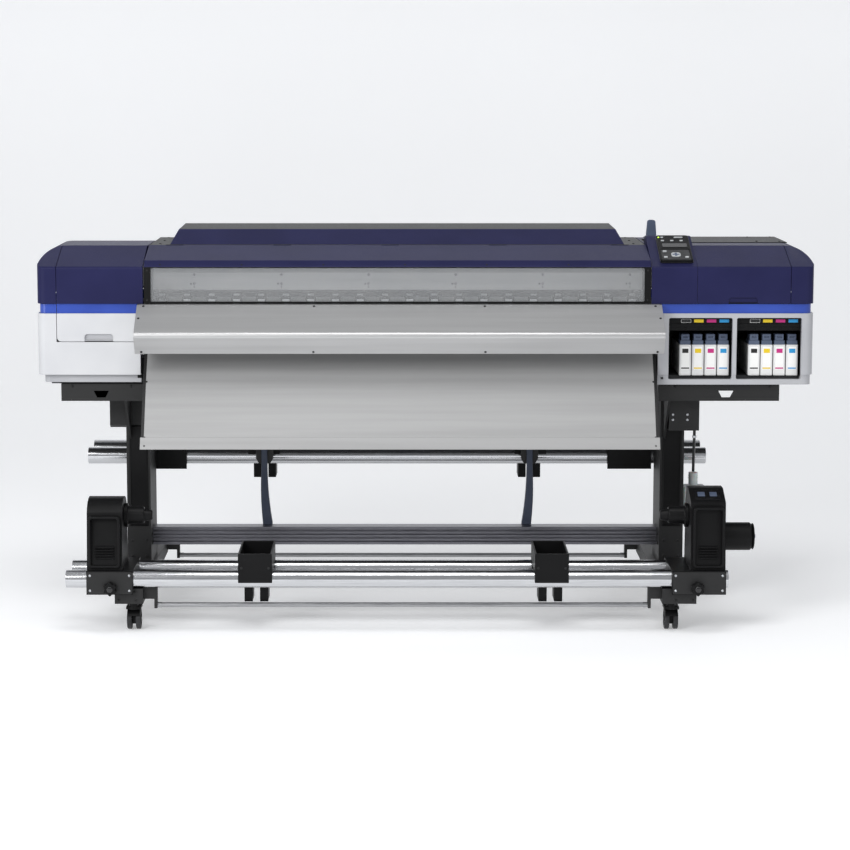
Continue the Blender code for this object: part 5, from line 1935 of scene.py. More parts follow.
    def bottle(self) -> None:
        """Square-shouldered bottle with sloping shoulders, a threaded neck and a printed stripe."""
        low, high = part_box("waste_bottle")
        x, y = (low.x + high.x) / 2, (low.y + high.y) / 2
        half, neck = 0.039, 0.016
        body = Bench.prism(
            Axis.Z, (low.z, 0.4150), box_outline((x - half, y - half), (x + half, y + half), 0.009)
        )
        Bench.pick(body, lambda n, c: n.z > 0.9)
        bpy.ops.mesh.extrude_region_move(TRANSFORM_OT_translate={"value": (0.0, 0.0, 0.0120)})
        bpy.ops.transform.resize(value=(0.72, 0.72, 1.0), center_override=(x, y, 0.4270))
        bpy.ops.mesh.extrude_region_move(TRANSFORM_OT_translate={"value": (0.0, 0.0, 0.0045)})
        bpy.ops.transform.resize(value=(0.80, 0.80, 1.0), center_override=(x, y, 0.4315))
        bpy.ops.object.mode_set(mode="OBJECT")
        profile = [
            (0.4200, 0.0), (0.4200, neck), (0.4420, neck), (0.4425, 0.0180), (0.4445, 0.0180), (0.4450, neck)
        ]
        profile += [
            (0.4500, neck), (0.4505, 0.0172), (0.4520, 0.0172), (0.4525, neck), (0.4625, neck), (0.4625, 0.0)
        ]
        Bench.fuse(body, Bench.lathe(Axis.Z, profile, (x, y, 0.0), 32))
        hollow = Bench.lathe(
            Axis.Z, [(0.4250, 0.0), (0.4250, 0.0132), (0.4700, 0.0132), (0.4700, 0.0)], (x, y, 0.0), 32
        )
        Bench.cut(body, hollow)
        Bench.soften(body, 0.0020, 3)
        self.fit(body, "waste_bottle_shell", MILKY, "bottle", Slot.BOTTLE, "waste_bottle")
        stripe = Bench.prism(
            Axis.Z, (0.3430, 0.3500),
            box_outline(
                (x - half - 0.0004, y - half - 0.0004), (x + half + 0.0004, y + half + 0.0004), 0.0094
            ),
        )
        core = Bench.prism(
            Axis.Z, (0.33, 0.36), box_outline((x - 0.036, y - 0.036), (x + 0.036, y + 0.036), 0.008)
        )
        self.fit(
            Bench.soften(Bench.cut(stripe, core), 0.0), "waste_bottle_stripe", INK_FILMS["yellow"], "bottle",
            Slot.BOTTLE,
        )


@dataclass
class ControlPanel(SubAssembly):
    """Control panel on the pod's slope, and the lever behind it that lifts the pinch rollers."""

    half_width: float = 0.055
    reach: Span = (-0.100, 0.104)
    thickness: float = 0.012
    pocket: Span = (-0.0905, -0.0095)
    gap: float = 0.0003

    def on_pod(self, obj: Piece) -> Piece:
        """Lays a piece modelled flat about the origin onto the pod's slope.

        Args:
            obj: The piece.

        Returns:
            The same piece.
        """
        y, z = -0.005, 1.2905
        angle = math.atan2(z - FORM.crease, y - FORM.front)
        middle = Vector((0.848, (FORM.front + y) / 2 + 0.004, (FORM.crease + z) / 2 + 0.0016))
        normal = Vector((0.0, -math.sin(angle), math.cos(angle)))
        return Bench.place(
            obj, Matrix.Translation(middle + normal * self.gap) @ Matrix.Rotation(angle, 4, "X")
        )

    def build(self) -> None:
        """Builds the housing, display, lamp and keys, then the lever."""
        self.housing()
        self.display()
        self.keys()
        self.lever()

    def housing(self) -> None:
        """Black housing with thick rounded edges and a pocket for the keypad."""
        low, high = self.reach
        wide = self.half_width
        case = Bench.prism(Axis.Z, (0.0, self.thickness), box_outline((-wide, low), (wide, high), 0.010, 7))
        pocket = box_outline((-0.0485, self.pocket[0]), (0.0485, self.pocket[1]), 0.004)
        Bench.cut(case, Bench.prism(Axis.Z, (0.0055, 0.03), pocket))
        Bench.soften(case, 0.0024, 4)
        self.fit(self.on_pod(case), "panel_housing", BLACK_ABS, "machine", Slot.MOULDING, "control_panel")
        ring = Bench.prism(
            Axis.Z, (0.0002, 0.0042),
            box_outline((-wide - 0.0012, low - 0.0012), (wide + 0.0012, high + 0.0012), 0.011, 7),
        )
        inner = Bench.prism(
            Axis.Z, (-0.01, 0.02),
            box_outline((-wide + 0.002, low + 0.002), (wide - 0.002, high - 0.002), 0.008, 7),
        )
        Bench.cut(ring, inner)
        self.fit(
            self.on_pod(Bench.soften(ring, 0.0007)), "panel_skirt", GLOSS_BLACK, "machine", Slot.MOULDING
        )

    def display(self) -> None:
        """Glossy bezel with a small display, the lamp, and the fixed upper keys."""
        top = self.thickness
        bezel = Bench.prism(
            Axis.Z, (top - 0.002, top + 0.0012), box_outline((-0.040, 0.004), (0.044, 0.034), 0.004)
        )
        Bench.press(bezel, lambda n, c: n.z > 0.9, 0.0035, -0.0008)
        self.fit(
            self.on_pod(Bench.soften(bezel, 0.0003)), "display_bezel", GLOSS_BLACK, "machine", Slot.MOULDING
        )
        screen = Bench.slab((-0.030, 0.0085, top - 0.001), (0.034, 0.0295, top + 0.0009), 0.0004, 2)
        self.fit(self.on_pod(Bench.soften(screen, 0.0)), "display_screen", DISPLAY, "machine", Slot.MOULDING)
        lamp = Bench.lathe(
            Axis.Z,
            [
                (top - 0.001, 0.0), (top - 0.001, 0.0030), (top + 0.0010, 0.0030), (top + 0.0020, 0.0020),
                (top + 0.0024, 0.0),
            ],
            (-0.0475, 0.084, 0.0), 16,
        )
        self.fit(self.on_pod(Bench.soften(lamp, 0.0)), "power_lamp", LAMP, "machine", Slot.MOULDING)
        spots = [(-0.036, 0.083, 0.0045, 0.0032), (0.020, 0.083, 0.0150, 0.0034)]
        spots += [
            (-0.036, 0.056, 0.0055, 0.0034), (-0.004, 0.056, 0.0055, 0.0034), (0.028, 0.056, 0.0055, 0.0034)
        ]
        caps = [self.key_cap(x, y, wide, deep, top - 0.001, top + 0.0022) for x, y, wide, deep in spots]
        self.fit(self.on_pod(Bench.join(caps)), "upper_keys", KEY_GREY, "machine", Slot.SLATE)

    @staticmethod
    def key_cap(x: float, y: float, wide: float, deep: float, low: float, high: float) -> Piece:
        """A rounded key with a dished top.

        Args:
            x: Middle across the panel.
            y: Middle up the panel.
            wide: Half width.
            deep: Half depth.
            low: Height of its foot.
            high: Height of its top.

        Returns:
            The key.
        """
        outline = box_outline((x - wide, y - deep), (x + wide, y + deep), min(wide, deep) * 0.6, 4)
        cap = Bench.prism(Axis.Z, (low, high), outline)
        Bench.press(cap, lambda n, c: n.z > 0.9, min(wide, deep) * 0.22, -0.0002)
        return Bench.soften(cap, 0.0004)

    def keys(self) -> None:
        """The keypad's rubber mat with its menu keys and square four-way key."""
        low, high = self.pocket
        mat = Bench.prism(
            Axis.Z, (0.0080, 0.0100), box_outline((-0.048, low + 0.0005), (0.048, high - 0.0005), 0.0038)
        )
        Bench.soften(mat, 0.0004)
        self.fit(self.on_pod(mat), "keypad_mat", TUBE, "keys", Slot.SLATE, "keypad")
        caps = [self.key_cap(-0.036, -0.028, 0.0065, 0.0042, 0.0095, 0.0135)]
        caps += [self.key_cap(x, -0.074, 0.0062, 0.0040, 0.0095, 0.0135) for x in (-0.036, 0.036)]
        self.fit(self.on_pod(Bench.join(caps)), "menu_keys", KEY_GREY, "keys", Slot.SLATE)
        pad = self.key_cap(0.0, -0.055, 0.0155, 0.0155, 0.0095, 0.0130)
        plus = Bench.prism(
            Axis.Z, (0.0118, 0.0136),
            [
                (x, y - 0.055)
                for x, y in (
                    (-0.004, -0.012), (0.004, -0.012), (0.004, -0.004), (0.012, -0.004), (0.012, 0.004),
                    (0.004, 0.004), (0.004, 0.012), (-0.004, 0.012), (-0.004, 0.004), (-0.012, 0.004),
                    (-0.012, -0.004), (-0.004, -0.004),
                )
            ],
        )
        self.fit(self.on_pod(Bench.soften(pad, 0.0)), "four_way_key", KEY_GREY, "keys", Slot.SLATE)
        self.fit(self.on_pod(Bench.soften(plus, 0.0005)), "four_way_arrows", SLATE, "keys", Slot.SLATE)

    def lever(self) -> None:
        """Slate lever, flared upwards, with a rounded end and a recessed face."""
        outline = rounded(
            [
                (0.7765, 1.200), (0.8055, 1.200), (0.8085, 1.292, 0.03), (0.8045, 1.340, 0.008),
                (0.7775, 1.340, 0.008), (0.7735, 1.292, 0.03),
            ],
            6,
        )
        lever = Bench.prism(Axis.Y, (0.106, 0.126), outline)
        Bench.press(lever, lambda n, c: abs(n.y) > 0.9, 0.0045, -0.0022)
        Bench.soften(lever, 0.0018, 3)
        self.fit(lever, "lever_grip", SLATE, "loading_lever", Slot.SLATE, "media_loading_lever")
        ribs = []
        rib = Bench.slab((0.7800, 0.1060, 1.318), (0.8020, 0.1262, 1.3205), 0.0010, 2)
        ribs += [Bench.copy(rib, (0.0, 0.0, -0.008 * i)) for i in range(3)]
        bpy.data.objects.remove(rib, do_unlink=True)
        self.fit(Bench.soften(Bench.join(ribs), 0.0), "lever_ribs", SLATE, "loading_lever", Slot.SLATE)


@dataclass
class Stand(SubAssembly):
    """Legs, crossbeam with its struts, rails and tie bars."""

    mid: float = -0.096
    rail_radius: float = 0.030
    beam_y: Span = (0.030, 0.095)
    beam_z: Span = (0.205, 0.268)

    def build(self) -> None:
        """Builds from the floor up."""
        self.legs()
        self.crossbeam()
        self.struts()
        self.rails()
        self.ties()

    def legs(self) -> None:
        """Legs as their CAD shape with rounded edges, their bolts, and a slot liner in each column."""
        for side in ("left", "right"):
            leg = Bench.soften(Bench.refine(f"leg_{side}"), 0.0014)
            self.fit(leg, f"{side}_leg_frame", BLACK_STEEL, "machine", Slot.BLACK_STEEL, f"leg_{side}")
        places = []
        for low, high in ((-1.034, -0.952), (0.816, 0.899)):
            mid = (low + high) / 2
            places += [
                ((mid + dx, -0.0500, z), FRONT)
                for dx in (-0.025, 0.025)
                for z in (0.180, 0.235, 0.690, 0.760)
            ]
            places += [((mid + dx, 0.1700, z), BACK) for dx in (-0.025, 0.025) for z in (0.200, 0.360, 0.700)]
            places += [((mid + dx, -0.4900, z), FRONT) for dx in (-0.028, 0.028) for z in (0.112, 0.140)]
            places += [((mid + dx, 0.4700, z), BACK) for dx in (-0.028, 0.028) for z in (0.112, 0.140)]
        places += [((-0.9520, y, z), RIGHT) for y in (-0.020, 0.060, 0.140) for z in (0.220, 0.252)]
        places += [((0.8160, y, z), LEFT) for y in (-0.020, 0.060, 0.140) for z in (0.220, 0.252)]
        places += [((x, -0.2000, 0.7975 - 0.004), FRONT) for x in (-1.200, -1.000, 0.850, 1.170)]
        self.fit(
            Screws(0.0052, 0.0030).scatter(places), "stand_bolts", BLACK_OXIDE, "machine", Slot.BLACK_STEEL
        )
        places = [((x, -0.1200, z), FRONT) for x in (0.851, 0.901) for z in (0.668, 0.686)]
        self.fit(Screws(0.0045, 0.0024).scatter(places), "drain_box_bolts", ZINC, "machine", Slot.BLACK_STEEL)
        rib = Bench.prism(
            Axis.Y, (-0.1222, -0.1195), [(0.842, 0.760), (0.850, 0.760), (0.938, 0.700), (0.930, 0.700)]
        )
        self.fit(Bench.soften(rib, 0.0006), "drain_box_rib", BLACK_STEEL, "machine", Slot.BLACK_STEEL)
        covers = []
        for low, high in ((-1.034, -0.952), (0.816, 0.899)):
            cover = Bench.slab((low + 0.008, -0.0530, 0.285), (high - 0.008, -0.0490, 0.640), 0.0012, 2)
            Bench.press(cover, lambda n, c: n.y < -0.9, 0.006, -0.0016)
            covers.append(cover)
        self.fit(
            Bench.soften(Bench.join(covers), 0.0), "column_covers", BLACK_ABS, "machine", Slot.BLACK_STEEL
        )

    def crossbeam(self) -> None:
        """Fluted extrusion between the columns."""
        low, high = self.beam_z
        front, rear = self.beam_y
        corners = [(rear, high, 0.002), (rear, low, 0.002), (front, low, 0.0015)]
        flutes = 5
        pitch = (high - low) / flutes
        for index in range(1, flutes):
            z = low + index * pitch
            corners += [(front, z - 0.0030, 0.0012), (front + 0.0060, z - 0.0016, 0.001)]
            corners += [(front + 0.0060, z + 0.0016, 0.001), (front, z + 0.0030, 0.0012)]
        corners.append((front, high, 0.0015))
        beam = Bench.soften(Bench.prism(Axis.X, (-0.9517, 0.8157), rounded(corners, 3)), 0.0)
        self.fit(beam, "crossbeam", EXTRUSION, "machine", Slot.EXTRUSION, "stand_crossbeam")

    def struts(self) -> None:
        """Two moulded struts that brace the head, each under a black bracket of two lobes."""
        for side, label in ((-1, "left"), (1, "right")):
            top, bottom = 0.457 * side + self.mid, 0.440 * side + self.mid
            wide, width = 0.034 * side, 0.021 * side
            sweep = [
                (top + (bottom - top) * f * f, 0.470 - 0.200 * f) for f in (0.0, 0.2, 0.4, 0.6, 0.8, 1.0)
            ]
            inner = [(top, 0.802), *sweep, (bottom, 0.2615)]
            outer = [
                (x + width + (wide - width) * min(1.0, max(0.0, (0.470 - z) / 0.2)), z)
                for x, z in reversed(inner)
            ]
            strut = Bench.prism(Axis.Y, (0.0865, 0.1165), inner + outer)
            Bench.soften(strut, 0.0040, 3)
            self.fit(strut, f"{label}_strut", STRUT, "machine", Slot.EXTRUSION)
            x = top + width / 2
            plate = rounded(
                [
                    (x - 0.030, 0.802), (x - 0.030, 0.500, 0.010), (x - 0.020, 0.482, 0.008),
                    (x + 0.020, 0.482, 0.008), (x + 0.030, 0.500, 0.010), (x + 0.030, 0.802),
                ],
                4,
            )
            bracket = Bench.prism(Axis.Y, (0.1000, 0.1168), plate)
            Bench.soften(bracket, 0.0016)
            self.fit(bracket, f"{label}_strut_bracket", BLACK_STEEL, "machine", Slot.BLACK_STEEL)

    def rails(self) -> None:
        """Four polished tubes with plugged ends."""
        plugs = []
        for node in ("front_rail_outer", "front_rail_inner", "rear_rail_inner", "rear_rail_outer"):
            low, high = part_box(node)
            y, z = (low.y + high.y) / 2, (low.z + high.z) / 2
            r = self.rail_radius
            wall = [(low.x, r - 0.003), (low.x, r - 0.0008), (low.x + 0.0008, r), (high.x - 0.0008, r)]
            wall += [(high.x, r - 0.0008), (high.x, r - 0.003)]
            tube = Bench.soften(Bench.lathe(Axis.X, wall, (0.0, y, z), 64, ring=True), 0.0)
            self.fit(tube, node + "_tube", PIPE, "machine", Slot.PIPE, node)
            for end, way in ((low.x, 1), (high.x, -1)):
                profile = [
                    (end + way * 0.022, 0.0), (end + way * 0.022, r - 0.0032), (end + way * 0.003, r - 0.0032)
                ]
                profile += [
                    (end + way * 0.0015, r - 0.0060), (end + way * 0.0045, r - 0.012),
                    (end + way * 0.0045, 0.0),
                ]
                plugs.append(Bench.lathe(Axis.X, profile, (0.0, y, z), 40))
        self.fit(Bench.soften(Bench.join(plugs), 0.0), "rail_plugs", BLACK_ABS, "machine", Slot.MOULDING)

    def ties(self) -> None:
        """Round tie bars between the feet, with a collar at each end."""
        for node in ("front_tie_bar", "rear_tie_bar"):
            low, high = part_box(node)
            y, z = (low.y + high.y) / 2, (low.z + high.z) / 2
            r = (high.z - low.z) / 2
            profile = [(low.x, 0.0), (low.x, r * 0.98), (low.x + 0.014, r * 0.98), (low.x + 0.015, r * 0.86)]
            profile += [
                (high.x - 0.015, r * 0.86), (high.x - 0.014, r * 0.98), (high.x, r * 0.98), (high.x, 0.0)
            ]
            bar = Bench.soften(Bench.lathe(Axis.X, profile, (0.0, y, z), 32), 0.0)
            self.fit(bar, node + "_rod", ROLLER, "machine", Slot.EXTRUSION, node)


@dataclass
class Casters(SubAssembly):
    """Four swivelling twin-wheel casters."""

    ends: tuple[str, ...] = ("front_left", "front_right", "rear_left", "rear_right")
    radius: float = 0.034
    half: float = 0.025

    def build(self) -> None:
        """Builds each caster's fork and wheels."""
        for end in self.ends:
            self.fork(end)
            self.wheels(end)

    def fork(self, end: str) -> None:
        """Fork: the CAD's shape below a curved hood, with its stem and plate.

        Args:
            end: The corner's name, such as front_left.
        """
        wheel_low, wheel_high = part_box(f"caster_wheel_{end}")
        x, y = (wheel_low.x + wheel_high.x) / 2, (wheel_low.y + wheel_high.y) / 2
        fork = Bench.soften(Bench.refine(f"caster_fork_{end}"), 0.0014)
        self.fit(
            fork, f"caster_fork_frame_{end}", BLACK_ABS, f"caster_fork_{end}", Slot.CASTER,
            f"caster_fork_{end}",
        )
        outer, inner = 0.0408, 0.0368
        ring = arc((y, self.radius), (outer, outer), 25, 155, 16) + arc(
            (y, self.radius), (inner, inner), 155, 25, 16
        )
        hood = Bench.prism(Axis.X, (x - 0.0215, x + 0.0215), ring)
        Bench.soften(hood, 0.0012)
        self.fit(hood, f"caster_hood_{end}", BLACK_ABS, f"caster_fork_{end}", Slot.CASTER)

    def wheels(self, end: str) -> None:
        """Twin wheels with dished hubs and axle caps.

        Args:
            end: The corner's name, such as front_left.
        """
        low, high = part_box(f"caster_wheel_{end}")
        x, y = (low.x + high.x) / 2, (low.y + high.y) / 2
        r = self.radius
        treads, hubs = [], []
        for way in (-1, 1):
            tread = [
                (0.0070, 0.0250), (0.0070, 0.0318), (0.0090, r), (0.0205, r), (0.0225, 0.0318),
                (0.0225, 0.0250),
            ]
            hub = [(0.0065, 0.0052), (0.0065, 0.0252), (0.0215, 0.0252), (0.0190, 0.0215), (0.0190, 0.0110)]
            hub += [(0.0235, 0.0095), (0.0245, 0.0070), (0.0248, 0.0052)]
            treads.append(Bench.lathe(Axis.X, [(way * a, b) for a, b in tread], (x, y, r), 48, ring=True))
            hubs.append(Bench.lathe(Axis.X, [(way * a, b) for a, b in hub], (x, y, r), 32, ring=True))
        axle = Bench.lathe(
            Axis.X,
            [
                (-self.half, 0.0), (-self.half, 0.0036), (-0.0242, 0.0050), (0.0242, 0.0050),
                (self.half, 0.0036), (self.half, 0.0),
            ],
            (x, y, r), 20,
        )
        body = f"caster_wheel_{end}"
        self.fit(Bench.soften(Bench.join(treads), 0.0), f"caster_treads_{end}", TREAD, body, Slot.TREAD, body)
        self.fit(Bench.soften(Bench.join(hubs), 0.0), f"caster_hubs_{end}", BLACK_ABS, body, Slot.CASTER)
        self.fit(Bench.soften(axle, 0.0), f"caster_axle_{end}", ZINC, body, Slot.CASTER)


@dataclass
class RollUnit(SubAssembly):
    """What the take-up and feed units share: core plugs, rail supports and housings."""

    mid: float = -0.096
    take_up_axis: Flat = (-0.380, 0.381)
    feed_axis: Flat = (0.3035, 0.690)

    def core(self, side: str, unit: str, face: float, axis: Flat) -> None:
        """Stepped core plug with grip ribs round its flange.

        Args:
            side: left or right.
            unit: take_up or feed.
            face: X of the housing's face it turns in.
            axis: Its axis' y and z.
        """
        way = 1 if side == "left" else -1
        body = f"{unit}_core_{side}"
        profile = [
            (-0.030, 0.0), (-0.030, 0.0100), (0.0002, 0.0100), (0.0002, 0.0385), (0.0012, 0.0400),
            (0.0108, 0.0400),
        ]
        profile += [
            (0.0120, 0.0385), (0.0120, 0.0330), (0.0160, 0.0300), (0.0600, 0.0296), (0.0660, 0.0270),
            (0.0665, 0.0205),
        ]
        profile += [(0.0900, 0.0170), (0.0930, 0.0140), (0.0940, 0.0110), (0.0940, 0.0)]
        plug = Bench.lathe(Axis.X, [(face + way * a, b) for a, b in profile], (0.0, *axis), 48)
        fins = []
        for turn in range(6):
            angle = math.radians(60 * turn)
            fin = Bench.slab((-0.0265, -0.0016, 0.0), (0.0265, 0.0016, 0.0304), 0.0006, 1)
            spin = Matrix.Translation((face + way * 0.038, *axis)) @ Matrix.Rotation(angle, 4, "X")
            fins.append(Bench.place(fin, spin))
        self.fit(Bench.soften(plug, 0.0), f"{body}_plug", BLACK_ABS, body, Slot.MOULDING, body)
        self.fit(Bench.soften(Bench.join(fins), 0.0), f"{body}_fins", BLACK_ABS, body, Slot.MOULDING)

    def support(self, node: str) -> None:
        """Rail support: the CAD's shape with softened edges, and two screws on its front.

        Args:
            node: The CAD node and body.
        """
        low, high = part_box(node)
        self.fit(
            Bench.soften(Bench.refine(node), 0.0020, 3), f"{node}_tray", BLACK_ABS, node, Slot.MOULDING, node
        )
        middle = (low.x + high.x) / 2
        y, z = low.y, (high.z - 0.048)
        screws = Screws(0.0042, 0.0022).scatter([((middle + dx, y, z), FRONT) for dx in (-0.045, 0.045)])
        self.fit(screws, f"{node}_screws", BLACK_OXIDE, node, Slot.MOULDING)


@dataclass
class TakeUpUnit(RollUnit):
    """Take-up unit on the front rails: two housings, core plugs, knobs and supports."""

    plate_z: Span = (0.137, 0.2115)

    def build(self) -> None:
        """Builds both sides."""
        for side, face, plate in (("left", -1.008, (-1.123, -0.973)), ("right", 0.878, (0.817, 0.992))):
            self.housing(side, plate)
            self.knob(side)
            self.core(side, "take_up", face, self.take_up_axis)
            self.support(f"take_up_support_{side}")

    def housing(self, side: str, plate: Span) -> None:
        """Holder housing with a front plate, its screws and a recessed face on the tower.

        Args:
            side: left or right.
            plate: Where the front plate starts and ends in x.
        """
        node = f"take_up_holder_{side}"
        shell = Bench.soften(Bench.refine(node), 0.0022, 3)
        self.fit(shell, f"{node}_housing", BLACK_ABS, node, Slot.MOULDING, node)
        low, high = plate
        face = -0.5102
        sheet = Bench.prism(
            Axis.Y, (face - 0.0022, -0.5090),
            box_outline((low, self.plate_z[0]), (high, self.plate_z[1]), 0.006),
        )
        self.fit(Bench.soften(sheet, 0.0007), f"{node}_plate", BLACK_STEEL, node, Slot.MOULDING)
        spots = [
            ((x, face - 0.0022, z), FRONT)
            for x in (low + 0.010, high - 0.010)
            for z in (self.plate_z[0] + 0.012, self.plate_z[1] - 0.012)
        ]
        if side == "left":
            left, right, foot, top = -1.1185, -1.0145, 0.222, 0.395
            base = -0.4880
        else:
            left, right, foot, top = 0.8850, 0.9880, 0.222, 0.425
            base = -0.4880
        frame = Bench.prism(
            Axis.Y, (base - 0.0100, base + 0.016), box_outline((left, foot), (right, top), 0.010, 6)
        )
        window = box_outline((left + 0.008, foot + 0.008), (right - 0.008, top - 0.008), 0.007, 6)
        Bench.cut(frame, Bench.prism(Axis.Y, (base - 0.03, base + 0.03), window))
        self.fit(Bench.soften(frame, 0.0024, 3), f"{node}_face_rim", BLACK_ABS, node, Slot.MOULDING)
        vents = []
        vent = Bench.slab(
            (left + 0.020, base - 0.004, foot + 0.030), (right - 0.020, base + 0.010, foot + 0.0335), 0.0010,
            1,
        )
        vents += [Bench.copy(vent, (0.0, 0.0, 0.009 * i)) for i in range(5)]
        bpy.data.objects.remove(vent, do_unlink=True)
        self.fit(Bench.soften(Bench.join(vents), 0.0), f"{node}_louvres", BLACK_ABS, node, Slot.MOULDING)
        self.fit(Screws(0.0040, 0.0022).scatter(spots), f"{node}_screws", ZINC, node, Slot.MOULDING)
        if side == "right":
            self.motor_details(node)

    def motor_details(self, node: str) -> None:
        """Switch panel on the tower's slope, and the motor's end cap.

        Args:
            node: The right holder's node.
        """
        angle = math.atan2(0.473 - 0.438, 0.470 - 0.385)
        middle = (0.936, -0.4275, 0.4557)
        turn = Matrix.Translation(middle) @ Matrix.Rotation(angle, 4, "X")
        panel = Bench.prism(Axis.Z, (0.0003, 0.0028), box_outline((-0.044, -0.030), (0.044, 0.030), 0.005))
        self.fit(
            Bench.place(Bench.soften(panel, 0.0007), turn), f"{node}_switch_plate", GLOSS_BLACK, node,
            Slot.MOULDING,
        )
        rockers = []
        for x in (-0.020, 0.020):
            rocker = Bench.slab((x - 0.0120, -0.0125, 0.0024), (x + 0.0120, 0.0125, 0.0060), 0.0016, 2)
            Bench.press(rocker, lambda n, c: n.z > 0.9, 0.0022, -0.0010)
            rockers.append(Bench.place(rocker, turn))
        self.fit(Bench.soften(Bench.join(rockers), 0.0), f"{node}_rockers", SLATE, node, Slot.MOULDING)
        profile = [(1.0945, 0.0), (1.0945, 0.0440), (1.0965, 0.0440), (1.0985, 0.0415), (1.0990, 0.0300)]
        profile += [(1.0975, 0.0290), (1.0975, 0.0120), (1.0990, 0.0110), (1.0990, 0.0)]
        cap = Bench.lathe(Axis.X, profile, (0.0, -0.380, 0.309), 48)
        self.fit(Bench.soften(cap, 0.0), f"{node}_motor_cap", BLACK_ABS, node, Slot.MOULDING)
        knob = Bench.lathe(
            Axis.X, [(1.0985, 0.0), (1.0985, 0.0085), (1.1040, 0.0080), (1.1050, 0.0065), (1.1050, 0.0)],
            (0.0, -0.380, 0.309), 24,
        )
        self.fit(Bench.soften(knob, 0.0), f"{node}_dial", SLATE, node, Slot.MOULDING)

    def knob(self, side: str) -> None:
        """Clamp knob of six lobes with a raised cap.

        Args:
            side: left or right.
        """
        node = f"take_up_knob_{side}"
        low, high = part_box(node)
        x, z = (low.x + high.x) / 2, (low.z + high.z) / 2
        radius = (high.z - low.z) / 2
        lobes = []
        for step in range(72):
            angle = math.radians(5 * step)
            reach = radius * (0.87 + 0.13 * math.cos(6 * angle))
            lobes.append((x + reach * math.sin(angle), z + reach * math.cos(angle)))
        grip = Bench.soften(Bench.prism(Axis.Y, (low.y + 0.004, high.y - 0.006), lobes), 0.0024, 3)
        self.fit(grip, f"{node}_lobes", BLACK_ABS, node, Slot.MOULDING, node)
        cap = Bench.lathe(
            Axis.Y,
            [
                (low.y, 0.0), (low.y, 0.0075), (low.y + 0.0015, 0.0100), (low.y + 0.006, 0.0120),
                (high.y, 0.0120), (high.y, 0.0),
            ],
            (x, 0.0, z), 32,
        )
        self.fit(Bench.soften(cap, 0.0), f"{node}_cap", GLOSS_BLACK, node, Slot.MOULDING)


@dataclass
class FeedUnit(RollUnit):
    """Feed unit on the rear rails: two holders with clamp handles, core plugs and supports."""

    half: float = 0.804

    def build(self) -> None:
        """Builds both sides."""
        for side, way in (("left", -1), ("right", 1)):
            node = f"feed_holder_{side}"
            shell = Bench.soften(Bench.refine(node), 0.0024, 3)
            self.fit(shell, f"{node}_housing", BLACK_ABS, node, Slot.MOULDING, node)
            middle = self.mid + way * 0.826
            outline = box_outline((middle - 0.0145, 0.436), (middle + 0.0145, 0.5390), 0.010, 6)
            lever = Bench.prism(Axis.Z, (0.5048, 0.5120), outline)
            Bench.press(lever, lambda n, c: n.z > 0.9, 0.004, -0.0016)
            self.fit(Bench.soften(lever, 0.0016, 3), f"{node}_handle", ZINC, node, Slot.MOULDING)
            bosses = []
            for x in (self.mid + way * 0.760, self.mid + way * 0.894):
                for y in (0.200, 0.410):
                    bosses.append(((x, y, 0.5320), UP))
            self.fit(Screws(0.0046, 0.0024).scatter(bosses), f"{node}_screws", ZINC, node, Slot.MOULDING)
            cap = [
                (self.mid + way * a, b)
                for a, b in (
                    (0.8835, 0.0), (0.8835, 0.0300), (0.8855, 0.0290), (0.8865, 0.0200), (0.8865, 0.0)
                )
            ]
            disc = Bench.lathe(Axis.X, cap, (0.0, *self.feed_axis), 40)
            self.fit(Bench.soften(disc, 0.0), f"{node}_cap", BLACK_ABS, node, Slot.MOULDING)
            self.core(side, "feed", self.mid + way * self.half, self.feed_axis)
            self.support(f"feed_support_{side}")


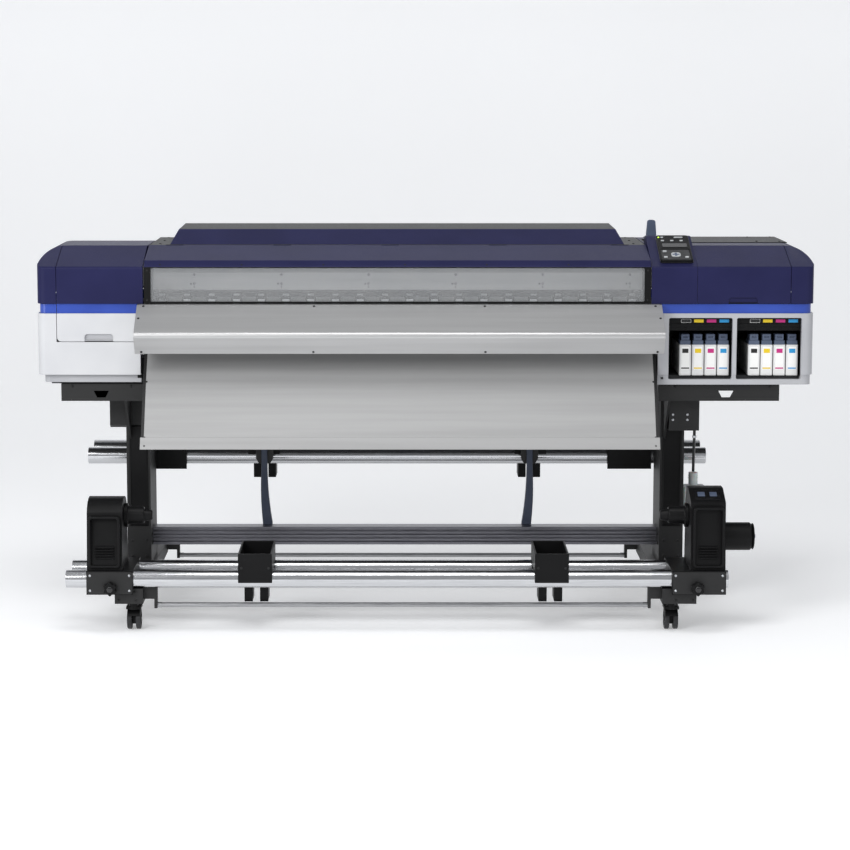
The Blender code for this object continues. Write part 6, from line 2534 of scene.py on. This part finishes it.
@dataclass
class Studio:
    """Pale floor, soft lamps and the camera."""

    camera_place: Point = (-0.096, -8.970, 1.858)
    tilt: float = 82.225
    lens: float = 110.118
    shift_x: float = 0.0329
    lamps: list[tuple[str, Point, Point, float, float]] = field(
        default_factory=lambda: [
            ("key_lamp", (-3.4, -5.2, 3.6), (-0.2, 0.0, 0.9), 2.6, 190.0),
            ("fill_lamp", (3.8, -4.4, 2.6), (0.2, 0.0, 0.8), 2.6, 50.0),
            ("sky_lamp", (0.0, -2.4, 5.6), (0.0, -0.3, 0.8), 2.4, 90.0),
            ("low_lamp", (-4.4, -3.0, 1.2), (0.0, 0.0, 0.8), 2.2, 30.0),
        ]
    )

    def camera(self) -> None:
        """Long lens a little above the head, square to the machine's front."""
        bpy.ops.object.camera_add(location=self.camera_place, rotation=(math.radians(self.tilt), 0.0, 0.0))
        camera = bpy.context.object
        camera.name = "camera"
        camera.data.lens = self.lens
        camera.data.sensor_width = 36.0
        camera.data.shift_x = self.shift_x
        camera.data.clip_end = 60.0
        camera.data.dof.use_dof = False
        bpy.context.scene.camera = camera

    def lights(self) -> None:
        """Large area lamps, and a pale world to light the shadows."""
        for name, spot, aim, size, power in self.lamps:
            bpy.ops.object.light_add(type="AREA", location=spot)
            lamp = bpy.context.object
            lamp.name = name
            lamp.rotation_euler = (Vector(aim) - Vector(spot)).to_track_quat("-Z", "Y").to_euler()
            lamp.data.shape = "SQUARE"
            lamp.data.size = size
            lamp.data.energy = power
        world = bpy.data.worlds.new("studio_sky")
        world.use_nodes = True
        tree = world.node_tree
        tree.nodes["Background"].inputs["Color"].default_value = linear("#f4f6f9")
        tree.nodes["Background"].inputs["Strength"].default_value = 0.42
        bpy.context.scene.world = world
        bpy.context.scene.view_settings.view_transform = "Standard"

    def stage(self) -> None:
        """Floor that sweeps up into a wall behind the machine."""
        sweep = [(-9.0, 0.0), (5.0, 0.0)]
        sweep += [
            (5.0 + 2.0 * math.sin(math.radians(a)), 2.0 - 2.0 * math.cos(math.radians(a)))
            for a in range(10, 91, 10)
        ]
        sweep.append((7.0, 9.0))
        bpy.ops.mesh.primitive_plane_add(size=1.0, location=(0.0, -2.0, 0.0))
        floor = bpy.context.object
        floor.name = "studio_floor"
        mesh = bmesh.new()
        rows = [[mesh.verts.new((x, y, z)) for y, z in sweep] for x in (-14.0, 14.0)]
        for near, far in zip(range(len(sweep) - 1), range(1, len(sweep))):
            mesh.faces.new((rows[0][near], rows[1][near], rows[1][far], rows[0][far]))
        mesh.to_mesh(floor.data)
        mesh.free()
        floor.location = (0.0, 0.0, 0.0)
        floor.data.shade_smooth()
        floor.data.materials.clear()
        floor.data.materials.append(STUDIO_PAINT.make())


def main() -> None:
    """Builds the studio, then every sub-assembly."""
    logging.basicConfig(level=logging.INFO, format="%(message)s")
    studio = Studio()
    studio.camera()
    parts: list[SubAssembly] = [
        WasteTube(), InkSupply(), LeftHead(), RightHead(), WindowCover(), MediaPath(), ControlPanel(),
        Stand(), Casters(), TakeUpUnit(), FeedUnit(),
    ]
    for part in parts:
        LOG.info("building %s", type(part).__name__)
        part.build()
    studio.lights()
    studio.stage()


if __name__ == "__main__":
    main()
